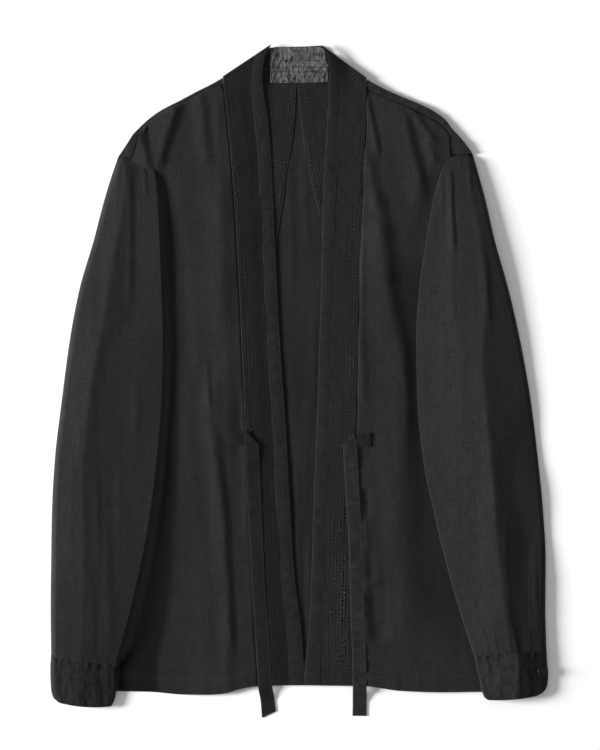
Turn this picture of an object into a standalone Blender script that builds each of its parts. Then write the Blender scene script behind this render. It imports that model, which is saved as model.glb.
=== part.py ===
"""A kimono shirt laid flat on its back, neck towards +Y, front facing +Z.

The tables are in millimetres, the way a pattern is drawn: across is measured to the right of
the centre line, down is measured from the top of the collar towards the hem, and height is
measured up from the surface that the shirt lies on. Every piece is a closed wall of cloth.
"""

import math
from collections import namedtuple

import bmesh
import bpy

MM = 0.001

# Driving sizes, in millimetres
TOTAL_LENGTH = 805.2
CENTRE_ACROSS = 0.3
CLOTH = 1.2
TRIM = 1.0
BAND_WALL = 2.0
SEAM_GAP = 0.35
FOLD_EDGE = 3.4
UNDER_SLEEVE = 3.5
STEP_START = 3.5
STEP_RUN = 4.5
HEM_DROP_START = 1.0
HEM_DROP_RUN = 17.0
SIDE_WALLS = 1.3
TOP_WALLS = 1.15
LEAST_HOLLOW = 0.5
SLEEVE_STATIONS = 22
HEAD_CROWDING = 1.15
CUFF_WALL = 1.6
CUFF_STATIONS = 7
FRONT_LIFT = 2.7
FRONT_LEAST_LIFT = 0.9
FRONT_RISE_WIDTH = 24.0
RISE_START = 4.0
ARMHOLE_DOWN = 106.0
ARMHOLE_RUN = 24.0
SHOULDER_DOWN = 60.0
SHOULDER_RUN = 60.0
SHOULDER_SINK = 0.6
HEM_DEPTH = 17.0
HEM_STEP = 0.5
HEM_STEP_RUN = 2.0
BAND_SEAM_HEIGHT = 6.6
BAND_EDGE_HEIGHT = 4.9
BAND_SHARE = 0.67
BAND_STATIONS = 27
QUILT_ROWS = 7
QUILT_RISE = 0.45
QUILT_END = 745.0
QUILT_FADE = 8.0
FACING_RISE = 0.15
FRONT_COLUMNS = 19
FRONT_ROWS = 26
FRONT_CROWDING = 1.35
SHOULDER_ROWS = 7
LEAST_ROW_STEP = 10.0
SADDLE_UNDER = 12.0
SADDLE_HEIGHT = 5.2
SADDLE_BEND = 1.2
SADDLE_CHAMFER = 0.3
NECK_BAND_WALL = 2.4
NECK_SEAM_DOWN = 46.6
NECK_LEFT = -76.0
NECK_RIGHT = 64.0
PATCH_RIPPLE = 0.2
PATCH_WAVES = 0.55
TIE_WALL = 1.2
TIE_WIDTH = 15.6
TIE_HEIGHT = 8.7
TIE_BULGE = 0.6
TIE_SLANT = 2.0
PLACKET_START = 585.0
BUTTON_DOWN = 751.0
BUTTON_SHARE = 0.1
BUTTON_REACH = 0.07
BUTTON_LIFT = 0.8
BUTTON_SIDES = 20
BUTTON_RADIUS = 5.5
BUTTON_WALL = 2.0

CLOTH_COLOUR = (0.028, 0.028, 0.029, 1.0)
PATCH_COLOUR = (0.16, 0.16, 0.16, 1.0)
BUTTON_COLOUR = (0.02, 0.02, 0.021, 1.0)

# Outer is the free edge of the sleeve, inner is the edge that lies on the body. Ridge and
# shoulder are where the top of the sleeve turns, each with its height. Tilt is how much lower
# the inner end of a section lies, and sag is how far its middle bows towards the hem.
SleeveRow = namedtuple(
    "SleeveRow", "down outer inner ridge crown shoulder shoulder_height tilt sag"
)

LEFT_SLEEVE = (
    SleeveRow(134.8, -217.0, -180.2, -207.0, 8.0, -188.0, 8.4, 0.0, 0.0),
    SleeveRow(156.0, -224.4, -170.0, -212.0, 10.2, -181.0, 10.6, 0.0, 0.0),
    SleeveRow(186.0, -233.6, -166.4, -219.0, 12.4, -176.0, 12.4, 0.0, 0.0),
    SleeveRow(234.0, -246.2, -163.8, -227.0, 14.4, -173.0, 13.8, 0.0, 0.0),
    SleeveRow(294.0, -263.6, -161.4, -232.0, 16.0, -171.0, 14.6, 0.0, 0.0),
    SleeveRow(354.0, -275.0, -159.6, -241.0, 17.0, -170.0, 15.0, 0.0, 0.0),
    SleeveRow(426.0, -284.6, -161.4, -248.0, 17.5, -174.0, 15.0, 0.0, 0.0),
    SleeveRow(498.0, -293.0, -167.4, -255.0, 17.5, -182.0, 14.6, 0.0, 0.0),
    SleeveRow(558.0, -296.4, -174.6, -257.0, 17.2, -190.0, 14.2, 0.0, 0.0),
    SleeveRow(618.0, -297.4, -185.4, -257.5, 16.8, -202.0, 13.8, 1.0, 0.4),
    SleeveRow(678.0, -298.0, -199.8, -259.5, 16.2, -215.0, 13.2, 4.0, 1.6),
    SleeveRow(732.0, -297.4, -216.4, -262.0, 15.0, -228.0, 12.4, 10.0, 3.2),
)

RIGHT_SLEEVE = (
    SleeveRow(131.2, 208.4, 181.2, 199.0, 8.4, 187.0, 8.0, 0.0, 0.0),
    SleeveRow(156.0, 215.6, 168.8, 203.0, 10.4, 177.0, 9.0, 0.0, 0.0),
    SleeveRow(186.0, 223.8, 160.8, 208.0, 12.6, 169.5, 9.8, 0.0, 0.0),
    SleeveRow(234.0, 234.8, 152.4, 217.0, 14.6, 162.0, 10.4, 0.0, 0.0),
    SleeveRow(294.0, 251.6, 144.0, 225.0, 16.0, 154.0, 10.8, 0.0, 0.0),
    SleeveRow(354.0, 265.2, 140.4, 222.0, 17.2, 151.0, 11.0, 0.0, 0.0),
    SleeveRow(426.0, 278.0, 139.8, 224.5, 17.8, 150.5, 11.0, 0.0, 0.0),
    SleeveRow(498.0, 286.8, 148.8, 230.5, 18.0, 159.5, 11.0, 0.0, 0.0),
    SleeveRow(558.0, 292.8, 160.8, 236.5, 18.0, 171.5, 11.0, 0.0, 0.0),
    SleeveRow(618.0, 296.0, 175.2, 241.5, 17.6, 186.0, 11.0, 0.0, 0.0),
    SleeveRow(678.0, 295.6, 192.6, 249.5, 17.0, 203.0, 11.0, 2.0, 0.0),
    SleeveRow(728.0, 297.0, 210.0, 256.0, 16.4, 218.0, 11.0, 6.0, -1.0),
)

LEFT_CUFF = (
    SleeveRow(732.6, -297.2, -218.8, -264.0, 14.6, -236.0, 12.9, 10.0, 3.2),
    SleeveRow(752.0, -298.4, -218.2, -265.0, 15.0, -236.0, 12.9, 7.2, 3.0),
    SleeveRow(772.0, -297.6, -219.4, -265.0, 14.8, -236.0, 12.7, 4.8, 2.6),
    SleeveRow(782.0, -295.2, -221.6, -265.0, 14.5, -237.0, 12.5, 4.6, 2.6),
    SleeveRow(787.4, -290.0, -225.0, -264.0, 14.0, -238.0, 12.3, 5.6, 3.0),
)

RIGHT_CUFF = (
    SleeveRow(728.6, 297.0, 210.4, 263.0, 15.8, 221.0, 12.4, 6.0, -1.0),
    SleeveRow(740.0, 297.6, 212.6, 263.0, 16.2, 223.0, 12.6, 6.8, -0.6),
    SleeveRow(755.0, 299.0, 216.0, 263.0, 16.2, 226.0, 12.6, 6.6, 0.0),
    SleeveRow(768.0, 298.0, 219.0, 262.5, 15.8, 229.0, 12.4, 6.2, 0.6),
    SleeveRow(776.0, 293.6, 222.0, 262.0, 15.2, 231.0, 12.2, 6.0, 1.2),
    SleeveRow(780.0, 287.0, 225.4, 261.5, 14.6, 233.0, 12.0, 5.0, 1.8),
)

# A fold is a soft ridge, or a trough where its rise is negative, along a line that bows
# sideways by bow. It fades out towards both ends.
Fold = namedtuple("Fold", "across down to_across to_down bow half_width rise")

LEFT_SLEEVE_FOLDS = (
    Fold(-199.0, 130.0, -200.0, 330.0, -3.0, 7.0, -2.8),
    Fold(-200.0, 320.0, -221.0, 470.0, 2.0, 8.0, -1.4),
    Fold(-186.0, 120.0, -180.0, 260.0, 2.0, 6.0, 1.4),
    Fold(-262.0, 260.0, -270.0, 420.0, -3.0, 6.0, 0.9),
    Fold(-228.0, 520.0, -236.0, 700.0, 4.0, 9.0, -1.6),
    Fold(-276.0, 560.0, -280.0, 735.0, 3.0, 7.0, -1.4),
    Fold(-246.0, 640.0, -243.0, 745.0, 0.0, 5.0, 1.2),
)

RIGHT_SLEEVE_FOLDS = (
    Fold(182.0, 128.0, 184.0, 235.0, 3.0, 5.0, -1.6),
    Fold(195.0, 128.0, 193.0, 215.0, 2.0, 4.0, -1.6),
    Fold(203.0, 150.0, 216.0, 300.0, -3.0, 7.0, 1.2),
    Fold(190.0, 240.0, 187.0, 330.0, 2.0, 8.0, -1.4),
    Fold(251.0, 480.0, 258.0, 735.0, 6.0, 8.0, -2.6),
    Fold(279.0, 470.0, 283.0, 725.0, 3.0, 6.0, 2.2),
    Fold(200.0, 640.0, 236.0, 730.0, 0.0, 6.0, -1.2),
    Fold(216.0, 660.0, 230.0, 735.0, 0.0, 4.0, 1.0),
)

LEFT_FRONT_FOLDS = (
    Fold(-133.0, 66.0, -163.0, 150.0, -5.0, 7.0, -2.4),
    Fold(-187.0, 96.0, -168.0, 156.0, -6.0, 6.0, -2.2),
    Fold(-168.0, 92.0, -170.0, 140.0, 4.0, 7.0, 1.8),
    Fold(-117.0, 54.0, -104.0, 160.0, 4.0, 9.0, -1.8),
    Fold(-92.0, 200.0, -88.0, 330.0, -2.0, 7.0, -1.2),
    Fold(-106.0, 400.0, -84.0, 530.0, 4.0, 7.0, -1.9),
    Fold(-83.0, 520.0, -70.0, 745.0, -3.0, 6.0, -2.1),
    Fold(-104.0, 540.0, -92.0, 740.0, 3.0, 12.0, 1.0),
    Fold(-143.0, 300.0, -134.0, 640.0, 5.0, 15.0, 0.8),
)

RIGHT_FRONT_FOLDS = (
    Fold(84.0, 52.0, 106.0, 130.0, -4.0, 5.0, -2.0),
    Fold(124.0, 66.0, 152.0, 176.0, -6.0, 7.0, -2.4),
    Fold(146.0, 74.0, 178.0, 132.0, -5.0, 5.0, -1.6),
    Fold(140.0, 82.0, 164.0, 150.0, -4.0, 5.0, 1.2),
    Fold(101.0, 180.0, 132.0, 330.0, -6.0, 12.0, -2.0),
    Fold(85.0, 330.0, 74.0, 450.0, 5.0, 7.0, -1.6),
    Fold(84.0, 640.0, 98.0, 740.0, 2.0, 8.0, -1.4),
    Fold(110.0, 420.0, 116.0, 700.0, 6.0, 16.0, 0.9),
)

# The side seam and armhole of the body, which the sleeves cover.
SideRow = namedtuple("SideRow", "down left right")

BODY_SIDE = (
    SideRow(98.0, -189.4, 181.4),
    SideRow(110.0, -193.6, 180.8),
    SideRow(122.0, -196.0, 180.8),
    SideRow(135.0, -198.6, 182.0),
    SideRow(160.0, -203.0, 186.0),
    SideRow(192.0, -215.0, 200.0),
    SideRow(234.0, -232.0, 218.0),
    SideRow(262.0, -242.0, 229.0),
    SideRow(290.0, -248.0, 237.0),
    SideRow(426.0, -251.0, 246.0),
    SideRow(606.0, -253.0, 252.0),
    SideRow(775.0, -255.6, 255.6),
)

# Hem of the fronts: from the side seam to the band.
HemRow = namedtuple("HemRow", "across down")

LEFT_HEM = (
    HemRow(-255.6, 774.0),
    HemRow(-178.8, 775.2),
    HemRow(-142.8, 778.2),
    HemRow(-112.8, 778.8),
    HemRow(-92.4, 777.6),
    HemRow(-70.8, 771.8),
    HemRow(-49.6, 767.2),
)

RIGHT_HEM = (
    HemRow(255.6, 774.6),
    HemRow(175.2, 775.8),
    HemRow(121.2, 774.0),
    HemRow(97.2, 770.6),
    HemRow(80.4, 768.2),
    HemRow(65.6, 767.2),
)

BACK_HEM = (
    HemRow(-255.4, 771.0),
    HemRow(-120.0, 770.0),
    HemRow(0.0, 767.4),
    HemRow(120.0, 769.4),
)
BACK_CORNER = 772.0

# Each collar band runs from the shoulder line at the neck to the hem, with its seam on the
# front at one side and its free edge at the other.
BandRow = namedtuple("BandRow", "seam seam_down edge edge_down")

LEFT_BAND = (
    BandRow(-90.6, 38.4, -34.4, 0.8),
    BandRow(-89.4, 54.0, -41.6, 18.0),
    BandRow(-87.4, 72.0, -44.2, 40.0),
    BandRow(-84.8, 96.0, -41.6, 64.0),
    BandRow(-81.8, 126.0, -37.2, 92.4),
    BandRow(-78.0, 174.0, -33.2, 144.0),
    BandRow(-74.6, 222.0, -30.6, 204.0),
    BandRow(-70.8, 294.0, -27.0, 284.4),
    BandRow(-67.2, 378.0, -22.2, 372.0),
    BandRow(-63.6, 462.0, -16.0, 459.6),
    BandRow(-60.0, 546.0, -11.6, 546.0),
    BandRow(-55.8, 630.0, -6.4, 630.0),
    BandRow(-52.2, 702.0, 2.4, 702.0),
    BandRow(-49.2, 752.4, 5.8, 751.2),
    BandRow(-48.6, 767.2, 6.2, 767.2),
)

RIGHT_BAND = (
    BandRow(80.2, 40.0, 27.4, 1.4),
    BandRow(80.4, 56.4, 34.2, 15.6),
    BandRow(80.0, 74.4, 36.4, 37.2),
    BandRow(79.4, 96.0, 36.0, 62.4),
    BandRow(77.8, 126.0, 34.4, 92.4),
    BandRow(75.4, 174.0, 31.0, 144.0),
    BandRow(74.0, 222.0, 28.8, 204.0),
    BandRow(71.2, 294.0, 27.4, 284.4),
    BandRow(69.2, 378.0, 24.8, 372.0),
    BandRow(67.2, 462.0, 22.0, 459.6),
    BandRow(65.4, 546.0, 18.4, 546.0),
    BandRow(63.4, 630.0, 15.8, 630.0),
    BandRow(61.8, 702.0, 12.6, 702.0),
    BandRow(63.6, 752.4, 7.2, 751.2),
    BandRow(64.8, 767.2, 7.2, 767.2),
)

# The saddle wraps over the shoulder line. Fold is on the outline, seam is where the front
# panel is sewn on.
SaddleRow = namedtuple("SaddleRow", "fold fold_down seam seam_down")

LEFT_SADDLE = (
    SaddleRow(-91.4, 39.4, -91.6, 49.4),
    SaddleRow(-104.4, 47.0, -104.0, 52.6),
    SaddleRow(-119.4, 54.4, -118.2, 58.0),
    SaddleRow(-143.4, 67.2, -142.0, 70.4),
    SaddleRow(-167.4, 79.8, -165.6, 82.6),
    SaddleRow(-181.8, 90.4, -179.4, 92.8),
    SaddleRow(-190.4, 98.4, -187.4, 101.0),
    SaddleRow(-198.8, 107.0, -192.0, 111.4),
    SaddleRow(-206.4, 118.8, -194.8, 122.4),
    SaddleRow(-216.8, 134.4, -198.2, 134.4),
)

RIGHT_SADDLE = (
    SaddleRow(81.4, 41.6, 82.0, 53.4),
    SaddleRow(97.2, 50.4, 95.6, 58.8),
    SaddleRow(121.2, 61.4, 118.4, 68.2),
    SaddleRow(145.2, 71.4, 141.2, 79.6),
    SaddleRow(160.8, 79.2, 157.4, 87.4),
    SaddleRow(175.2, 89.6, 173.0, 97.6),
    SaddleRow(184.0, 101.0, 179.6, 105.4),
    SaddleRow(193.2, 111.0, 180.4, 114.0),
    SaddleRow(201.4, 121.0, 180.6, 122.4),
    SaddleRow(208.2, 130.8, 181.2, 130.8),
)

# The stand of the collar behind the neck, and the faded patch on its inside.
StandRow = namedtuple("StandRow", "across top bottom")

NECK_STAND = (
    StandRow(-74.0, 31.0, 46.0),
    StandRow(-54.0, 17.6, 46.0),
    StandRow(-34.0, 4.4, 46.0),
    StandRow(-16.0, 3.6, 46.0),
    StandRow(6.0, 3.2, 46.0),
    StandRow(24.0, 2.2, 46.0),
    StandRow(42.0, 14.0, 46.0),
    StandRow(62.0, 28.4, 46.0),
)

NECK_PATCH = (
    StandRow(-34.0, 6.4, 45.4),
    StandRow(-27.6, 2.9, 45.4),
    StandRow(-16.0, 3.8, 45.4),
    StandRow(6.0, 3.6, 45.0),
    StandRow(22.0, 2.6, 44.6),
    StandRow(29.0, 5.4, 44.2),
    StandRow(34.6, 26.0, 44.0),
)

# Two quilted facings taper down the inside of the back, below the stand.
FacingRow = namedtuple("FacingRow", "down free hidden")

LEFT_FACING = (
    FacingRow(47.4, -3.4, -45.0),
    FacingRow(78.0, -4.8, -45.0),
    FacingRow(114.0, -8.4, -42.0),
    FacingRow(150.0, -14.4, -40.0),
    FacingRow(186.0, -19.2, -38.6),
    FacingRow(216.0, -24.0, -37.4),
    FacingRow(240.0, -28.2, -36.4),
)

RIGHT_FACING = (
    FacingRow(47.4, -1.8, 42.0),
    FacingRow(84.0, 2.4, 42.0),
    FacingRow(114.0, 6.0, 40.0),
    FacingRow(150.0, 12.0, 38.0),
    FacingRow(180.0, 19.2, 36.6),
    FacingRow(204.0, 25.2, 35.4),
)

# Each tie is sewn on beside the band, turns down at a slanting fold and hangs to its end.
TieRow = namedtuple("TieRow", "across down height")

LEFT_TIE_START = -85.2
LEFT_TIE_TURN = -64.0
LEFT_TIE_LEVEL = 471.0
LEFT_TIE = (
    TieRow(-56.2, 482.0, TIE_HEIGHT + 1.5),
    TieRow(-54.4, 522.0, TIE_HEIGHT),
    TieRow(-51.2, 594.0, TIE_HEIGHT),
    TieRow(-48.6, 644.0, TIE_HEIGHT),
    TieRow(-45.4, 690.0, TIE_HEIGHT),
    TieRow(-42.0, 738.0, TIE_HEIGHT),
    TieRow(-40.4, 770.0, TIE_HEIGHT - 0.4),
    TieRow(-38.6, 780.0, 3.4),
    TieRow(-37.4, 789.0, TIE_WALL),
    TieRow(-36.2, 802.8, TIE_WALL),
)

RIGHT_TIE_START = 85.2
RIGHT_TIE_TURN = 65.6
RIGHT_TIE_LEVEL = 474.0
RIGHT_TIE = (
    TieRow(61.6, 488.0, TIE_HEIGHT + 1.5),
    TieRow(64.0, 534.0, TIE_HEIGHT),
    TieRow(67.8, 594.0, TIE_HEIGHT),
    TieRow(69.4, 644.0, TIE_HEIGHT),
    TieRow(71.0, 700.0, TIE_HEIGHT),
    TieRow(72.6, 756.0, TIE_HEIGHT),
    TieRow(72.8, 771.0, TIE_HEIGHT - 0.4),
    TieRow(72.8, 781.0, 3.4),
    TieRow(72.8, 790.0, TIE_WALL),
    TieRow(72.6, 804.4, TIE_WALL),
)

# The sewn end of a tie: how far along to its fold, and how much lower it lies.
StubRow = namedtuple("StubRow", "share sink")

TIE_STUB = (
    StubRow(0.0, 0.9),
    StubRow(0.5, 0.6),
    StubRow(0.9, 0.0),
)

# The rounded plain strip of a band, from the quilting to the free edge.
EdgeRow = namedtuple("EdgeRow", "share rise sink")

BAND_EDGE = (
    EdgeRow(0.0, 0.0, 2.0),
    EdgeRow(0.5, 0.35, 2.0),
    EdgeRow(0.92, 0.15, 2.0),
    EdgeRow(1.0, -0.5, 1.6),
)

# The button from its back to its sunken middle. Radius is a share of the button's radius.
ButtonRow = namedtuple("ButtonRow", "radius height")

BUTTON = (
    ButtonRow(0.62, 0.0),
    ButtonRow(0.95, 0.25),
    ButtonRow(1.0, 0.9),
    ButtonRow(0.93, BUTTON_WALL),
    ButtonRow(0.72, BUTTON_WALL),
    ButtonRow(0.55, BUTTON_WALL - 0.6),
)

# Where the top of a sleeve section has points, from its outer edge to its inner edge. The
# second to fourth steps also carry the sleeve opening's placket.
TOP_STEPS = (0.0, 0.02, 0.06, 0.13, 0.2, 0.3, 0.4, 0.5, 0.6, 0.7, 0.8, 0.88, 0.94, 0.98, 1.0)
PLACKET_STEPS = (2, 3, 4)

# The underside of a sleeve section starts and ends a little inside its edges.
UNDER_FIRST = 0.985
UNDER_LAST = 0.015
LEAST_FOOT = 0.04
LEAST_STEP = 0.09


def clear_scene():
    for item in list(bpy.data.objects):
        bpy.data.objects.remove(item, do_unlink=True)


def make_material(name, colour, roughness, metallic=0.0):
    material = bpy.data.materials.new(name)
    material.use_nodes = True
    shader = material.node_tree.nodes["Principled BSDF"]
    shader.inputs["Base Color"].default_value = colour
    shader.inputs["Roughness"].default_value = roughness
    shader.inputs["Metallic"].default_value = metallic
    return material


def place(across, down, height):
    """A pattern point in metres, with the origin under the middle of the laid shirt."""
    return (
        (across - CENTRE_ACROSS) * MM,
        (TOTAL_LENGTH / 2 - down) * MM,
        height * MM,
    )


def ease(value):
    value = min(max(value, 0.0), 1.0)
    return value * value * (3.0 - 2.0 * value)


def curve_through(knots, values, at):
    """A smooth curve through a few knots that never swings past them."""
    if at <= knots[0]:
        return values[0]
    if at >= knots[-1]:
        return values[-1]
    last = len(knots) - 2
    index = 0
    while index < last and at > knots[index + 1]:
        index += 1
    slopes = [
        (values[k + 1] - values[k]) / (knots[k + 1] - knots[k]) for k in range(len(knots) - 1)
    ]

    def tangent(k):
        if k == 0:
            return slopes[0]
        if k == len(slopes):
            return slopes[-1]
        before, after = slopes[k - 1], slopes[k]
        if before * after <= 0.0:
            return 0.0
        return 2.0 * before * after / (before + after)

    span = knots[index + 1] - knots[index]
    t = (at - knots[index]) / span
    start = (1 + 2 * t) * (1 - t) ** 2 * values[index]
    start += t * (1 - t) ** 2 * span * tangent(index)
    end = t * t * (3 - 2 * t) * values[index + 1]
    end += t * t * (t - 1) * span * tangent(index + 1)
    return start + end


def read(table, column, at, by="down"):
    """A column of a table, read between its rows."""
    knots = [getattr(row, by) for row in table]
    values = [getattr(row, column) for row in table]
    if knots[0] > knots[-1]:
        knots.reverse()
        values.reverse()
    return curve_through(knots, values, at)


def fold_height(folds, across, down):
    """The sum of the soft ridges and troughs at a pattern point."""
    total = 0.0
    for fold in folds:
        run_across = fold.to_across - fold.across
        run_down = fold.to_down - fold.down
        length = math.hypot(run_across, run_down)
        along = ((across - fold.across) * run_across + (down - fold.down) * run_down) / length
        beside = ((across - fold.across) * run_down - (down - fold.down) * run_across) / length
        share = along / length
        if share <= 0.0 or share >= 1.0:
            continue
        fade = ease(4.0 * share) * ease(4.0 * (1.0 - share))
        offset = (beside - fold.bow * math.sin(math.pi * share)) / fold.half_width
        total += fold.rise * fade * math.exp(-offset * offset)
    return total


def finish_mesh(name, mesh_builder, material, smooth=True):
    """Turns the faces outwards and adds the piece to the scene."""
    bmesh.ops.remove_doubles(mesh_builder, verts=mesh_builder.verts, dist=0.00001)
    bmesh.ops.recalc_face_normals(mesh_builder, faces=mesh_builder.faces)
    mesh = bpy.data.meshes.new(name)
    mesh_builder.to_mesh(mesh)
    mesh_builder.free()
    piece = bpy.data.objects.new(name, mesh)
    mesh.materials.append(material)
    if smooth:
        mesh.shade_smooth()
        mesh.set_sharp_from_angle(angle=math.radians(40))
    bpy.context.scene.collection.objects.link(piece)
    return piece


def add_rows(builder, rows):
    return [[builder.verts.new(place(*point)) for point in row] for row in rows]


def wall_piece(name, top, bottom, material):
    """A closed wall between two grids. The underside may have fewer points across."""
    builder = bmesh.new()
    upper = add_rows(builder, top)
    lower = add_rows(builder, bottom)
    for grid in (upper, lower):
        for row, following in zip(grid, grid[1:]):
            for k in range(len(row) - 1):
                builder.faces.new((row[k], row[k + 1], following[k + 1], following[k]))
    for end in (0, -1):
        for k in range(len(upper) - 1):
            builder.faces.new((upper[k][end], upper[k + 1][end], lower[k + 1][end], lower[k][end]))
    for end in (0, -1):
        over, under = upper[end], lower[end]
        if len(over) == len(under):
            for k in range(len(over) - 1):
                builder.faces.new((over[k], over[k + 1], under[k + 1], under[k]))
        else:
            builder.faces.new(over + under[::-1])
    return finish_mesh(name, builder, material)


def loop_piece(name, loops, material):
    """A closed solid through a row of closed sections."""
    builder = bmesh.new()
    rings = add_rows(builder, loops)
    count = len(rings[0])
    for ring, following in zip(rings, rings[1:]):
        for k in range(count):
            after = (k + 1) % count
            builder.faces.new((ring[k], ring[after], following[after], following[k]))
    builder.faces.new(rings[0])
    builder.faces.new(rings[-1])
    return finish_mesh(name, builder, material)


def tube_piece(name, outer, inner, material):
    """An open-ended tube between an outer and an inner row of rings."""
    builder = bmesh.new()
    outside = add_rows(builder, outer)
    inside = add_rows(builder, inner)
    count = len(outside[0])
    for grid in (outside, inside):
        for ring, following in zip(grid, grid[1:]):
            for k in range(count):
                after = (k + 1) % count
                builder.faces.new((ring[k], ring[after], following[after], following[k]))
    for end in (0, -1):
        for k in range(count):
            after = (k + 1) % count
            builder.faces.new(
                (outside[end][k], outside[end][after], inside[end][after], inside[end][k])
            )
    return finish_mesh(name, builder, material)


def side_edge(side, down):
    return read(BODY_SIDE, "left" if side < 0 else "right", down)


def hem_down(side, across):
    return read(LEFT_HEM if side < 0 else RIGHT_HEM, "down", across, by="across")


def sleeve_edge(side, down):
    """The inner edge of the sleeve or cuff, which lies on the body."""
    table = LEFT_SLEEVE if side < 0 else RIGHT_SLEEVE
    return read(table, "inner", down)


def front_top(side, across, down):
    """Height of a front panel: low under the sleeve, lifted and folded beside it."""
    inboard = (sleeve_edge(side, down) - across) * side
    covered = ease((down - ARMHOLE_DOWN) / ARMHOLE_RUN)
    rise = 1.0 - covered * (1.0 - ease((inboard - RISE_START) / FRONT_RISE_WIDTH))
    folds = fold_height(LEFT_FRONT_FOLDS if side < 0 else RIGHT_FRONT_FOLDS, across, down)
    hem = HEM_STEP * ease((down - hem_down(side, across) + HEM_DEPTH) / HEM_STEP_RUN + 0.5)
    near_shoulder = 1.0 - ease((down - SHOULDER_DOWN) / SHOULDER_RUN)
    lift = max(FRONT_LIFT + folds, FRONT_LEAST_LIFT) + hem - SHOULDER_SINK * near_shoulder
    return UNDER_SLEEVE + lift * rise


def under_sleeve(side, across, down):
    """Underside of a sleeve: on the body where it covers it, on the floor beyond it."""
    outboard = (across - side_edge(side, down)) * side
    over_body = 1.0 - ease((outboard - STEP_START) / STEP_RUN)
    beyond_hem = (down - hem_down(side, across) - HEM_DROP_START) / HEM_DROP_RUN
    return (UNDER_SLEEVE + SEAM_GAP) * over_body * (1.0 - ease(beyond_hem))


def section_profile(row):
    """Height of a sleeve's top across its section, read by the share from outer to inner."""
    span = row.inner - row.outer
    knots = (
        0.0,
        (row.ridge - row.outer) / span,
        (row.shoulder - row.outer) / span,
        1.0,
    )
    heights = (FOLD_EDGE, row.crown, row.shoulder_height, UNDER_SLEEVE + SEAM_GAP + FOLD_EDGE)
    return lambda share: curve_through(knots, heights, share)


def section_at(table, down):
    """A section between the rows of a sleeve table."""
    values = [read(table, column, down) for column in SleeveRow._fields[1:]]
    return SleeveRow(down, *values)


def section_point(row, share):
    """Pattern point at a share of the way from the outer to the inner edge."""
    across = row.outer + share * (row.inner - row.outer)
    down = row.down + share * row.tilt + row.sag * 4.0 * share * (1.0 - share)
    return across, down


def sleeve_top(side, row, folds, share):
    across, down = section_point(row, share)
    bulge = math.sin(math.pi * min(max(share, 0.0), 1.0)) ** 0.5
    height = section_profile(row)(share) + fold_height(folds, across, down) * bulge
    least = under_sleeve(side, across, down) + 2.0 * CLOTH + 1.0
    return across, down, max(height, least)


def bottom_shares(side, row):
    """Where the underside of a section has points: both sides of the step down to the floor."""
    span = abs(row.inner - row.outer)
    edge = side_edge(side, row.down)
    step_top = (row.outer - edge) * side - STEP_START
    step_foot = step_top - STEP_RUN
    low = max(step_foot / span, LEAST_FOOT)
    high = max(step_top / span, LEAST_STEP)
    middle = 0.5 * (low + high)
    return (UNDER_FIRST, 0.5 + 0.5 * high, high, middle, low, 0.5 * low, UNDER_LAST)


def tube_rings(side, row, folds, wall):
    """Outer and inner ring of a flattened sleeve section."""
    span = abs(row.inner - row.outer)
    outer_ring = []
    inner_ring = []
    inset = SIDE_WALLS * wall / span
    for share in TOP_STEPS:
        across, down, height = sleeve_top(side, row, folds, share)
        if share in (0.0, 1.0):
            height = under_sleeve(side, across, down) + 0.5 * FOLD_EDGE
        outer_ring.append((across, down, height))
        within = inset + share * (1.0 - 2.0 * inset)
        across, down, height = sleeve_top(side, row, folds, within)
        floor = under_sleeve(side, across, down) + wall
        height = max(height - TOP_WALLS * wall, floor + LEAST_HOLLOW)
        if share in (0.0, 1.0):
            height = floor + 0.5 * LEAST_HOLLOW
        inner_ring.append((across, down, height))
    for share in bottom_shares(side, row):
        across, down = section_point(row, share)
        outer_ring.append((across, down, under_sleeve(side, across, down)))
        within = inset + share * (1.0 - 2.0 * inset)
        across, down = section_point(row, within)
        inner_ring.append((across, down, under_sleeve(side, across, down) + wall))
    return outer_ring, inner_ring


def sections_down(table, count, crowding=1.0):
    """Sections at steps down a sleeve, closer together at its head where crowding is over 1."""
    first, last = table[0].down, table[-1].down
    steps = [(k / (count - 1)) ** crowding for k in range(count)]
    return [section_at(table, first + step * (last - first)) for step in steps]


def make_sleeve(name, side, sections, folds, wall, material):
    """An open, flattened tube through the sections of a sleeve or a cuff."""
    rings = [tube_rings(side, row, folds, wall) for row in sections]
    return tube_piece(name, [r[0] for r in rings], [r[1] for r in rings], material)


def make_placket(name, side, sections, folds, material):
    """The strip that finishes the sleeve's opening, made from the sleeve's own points."""
    top = []
    bottom = []
    for row in sections:
        if row.down < PLACKET_START:
            continue
        points = [sleeve_top(side, row, folds, TOP_STEPS[k]) for k in PLACKET_STEPS]
        bottom.append([(a, d, h + SEAM_GAP) for a, d, h in points])
        top.append([(a, d, h + SEAM_GAP + TRIM) for a, d, h in points])
    return wall_piece(name, top, bottom, material)


def rows_below(saddle, clearance=0.0):
    """Rows of the side seam that lie below the end of a saddle."""
    return [row for row in BODY_SIDE if row.down > saddle[-1].seam_down + clearance]


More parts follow.
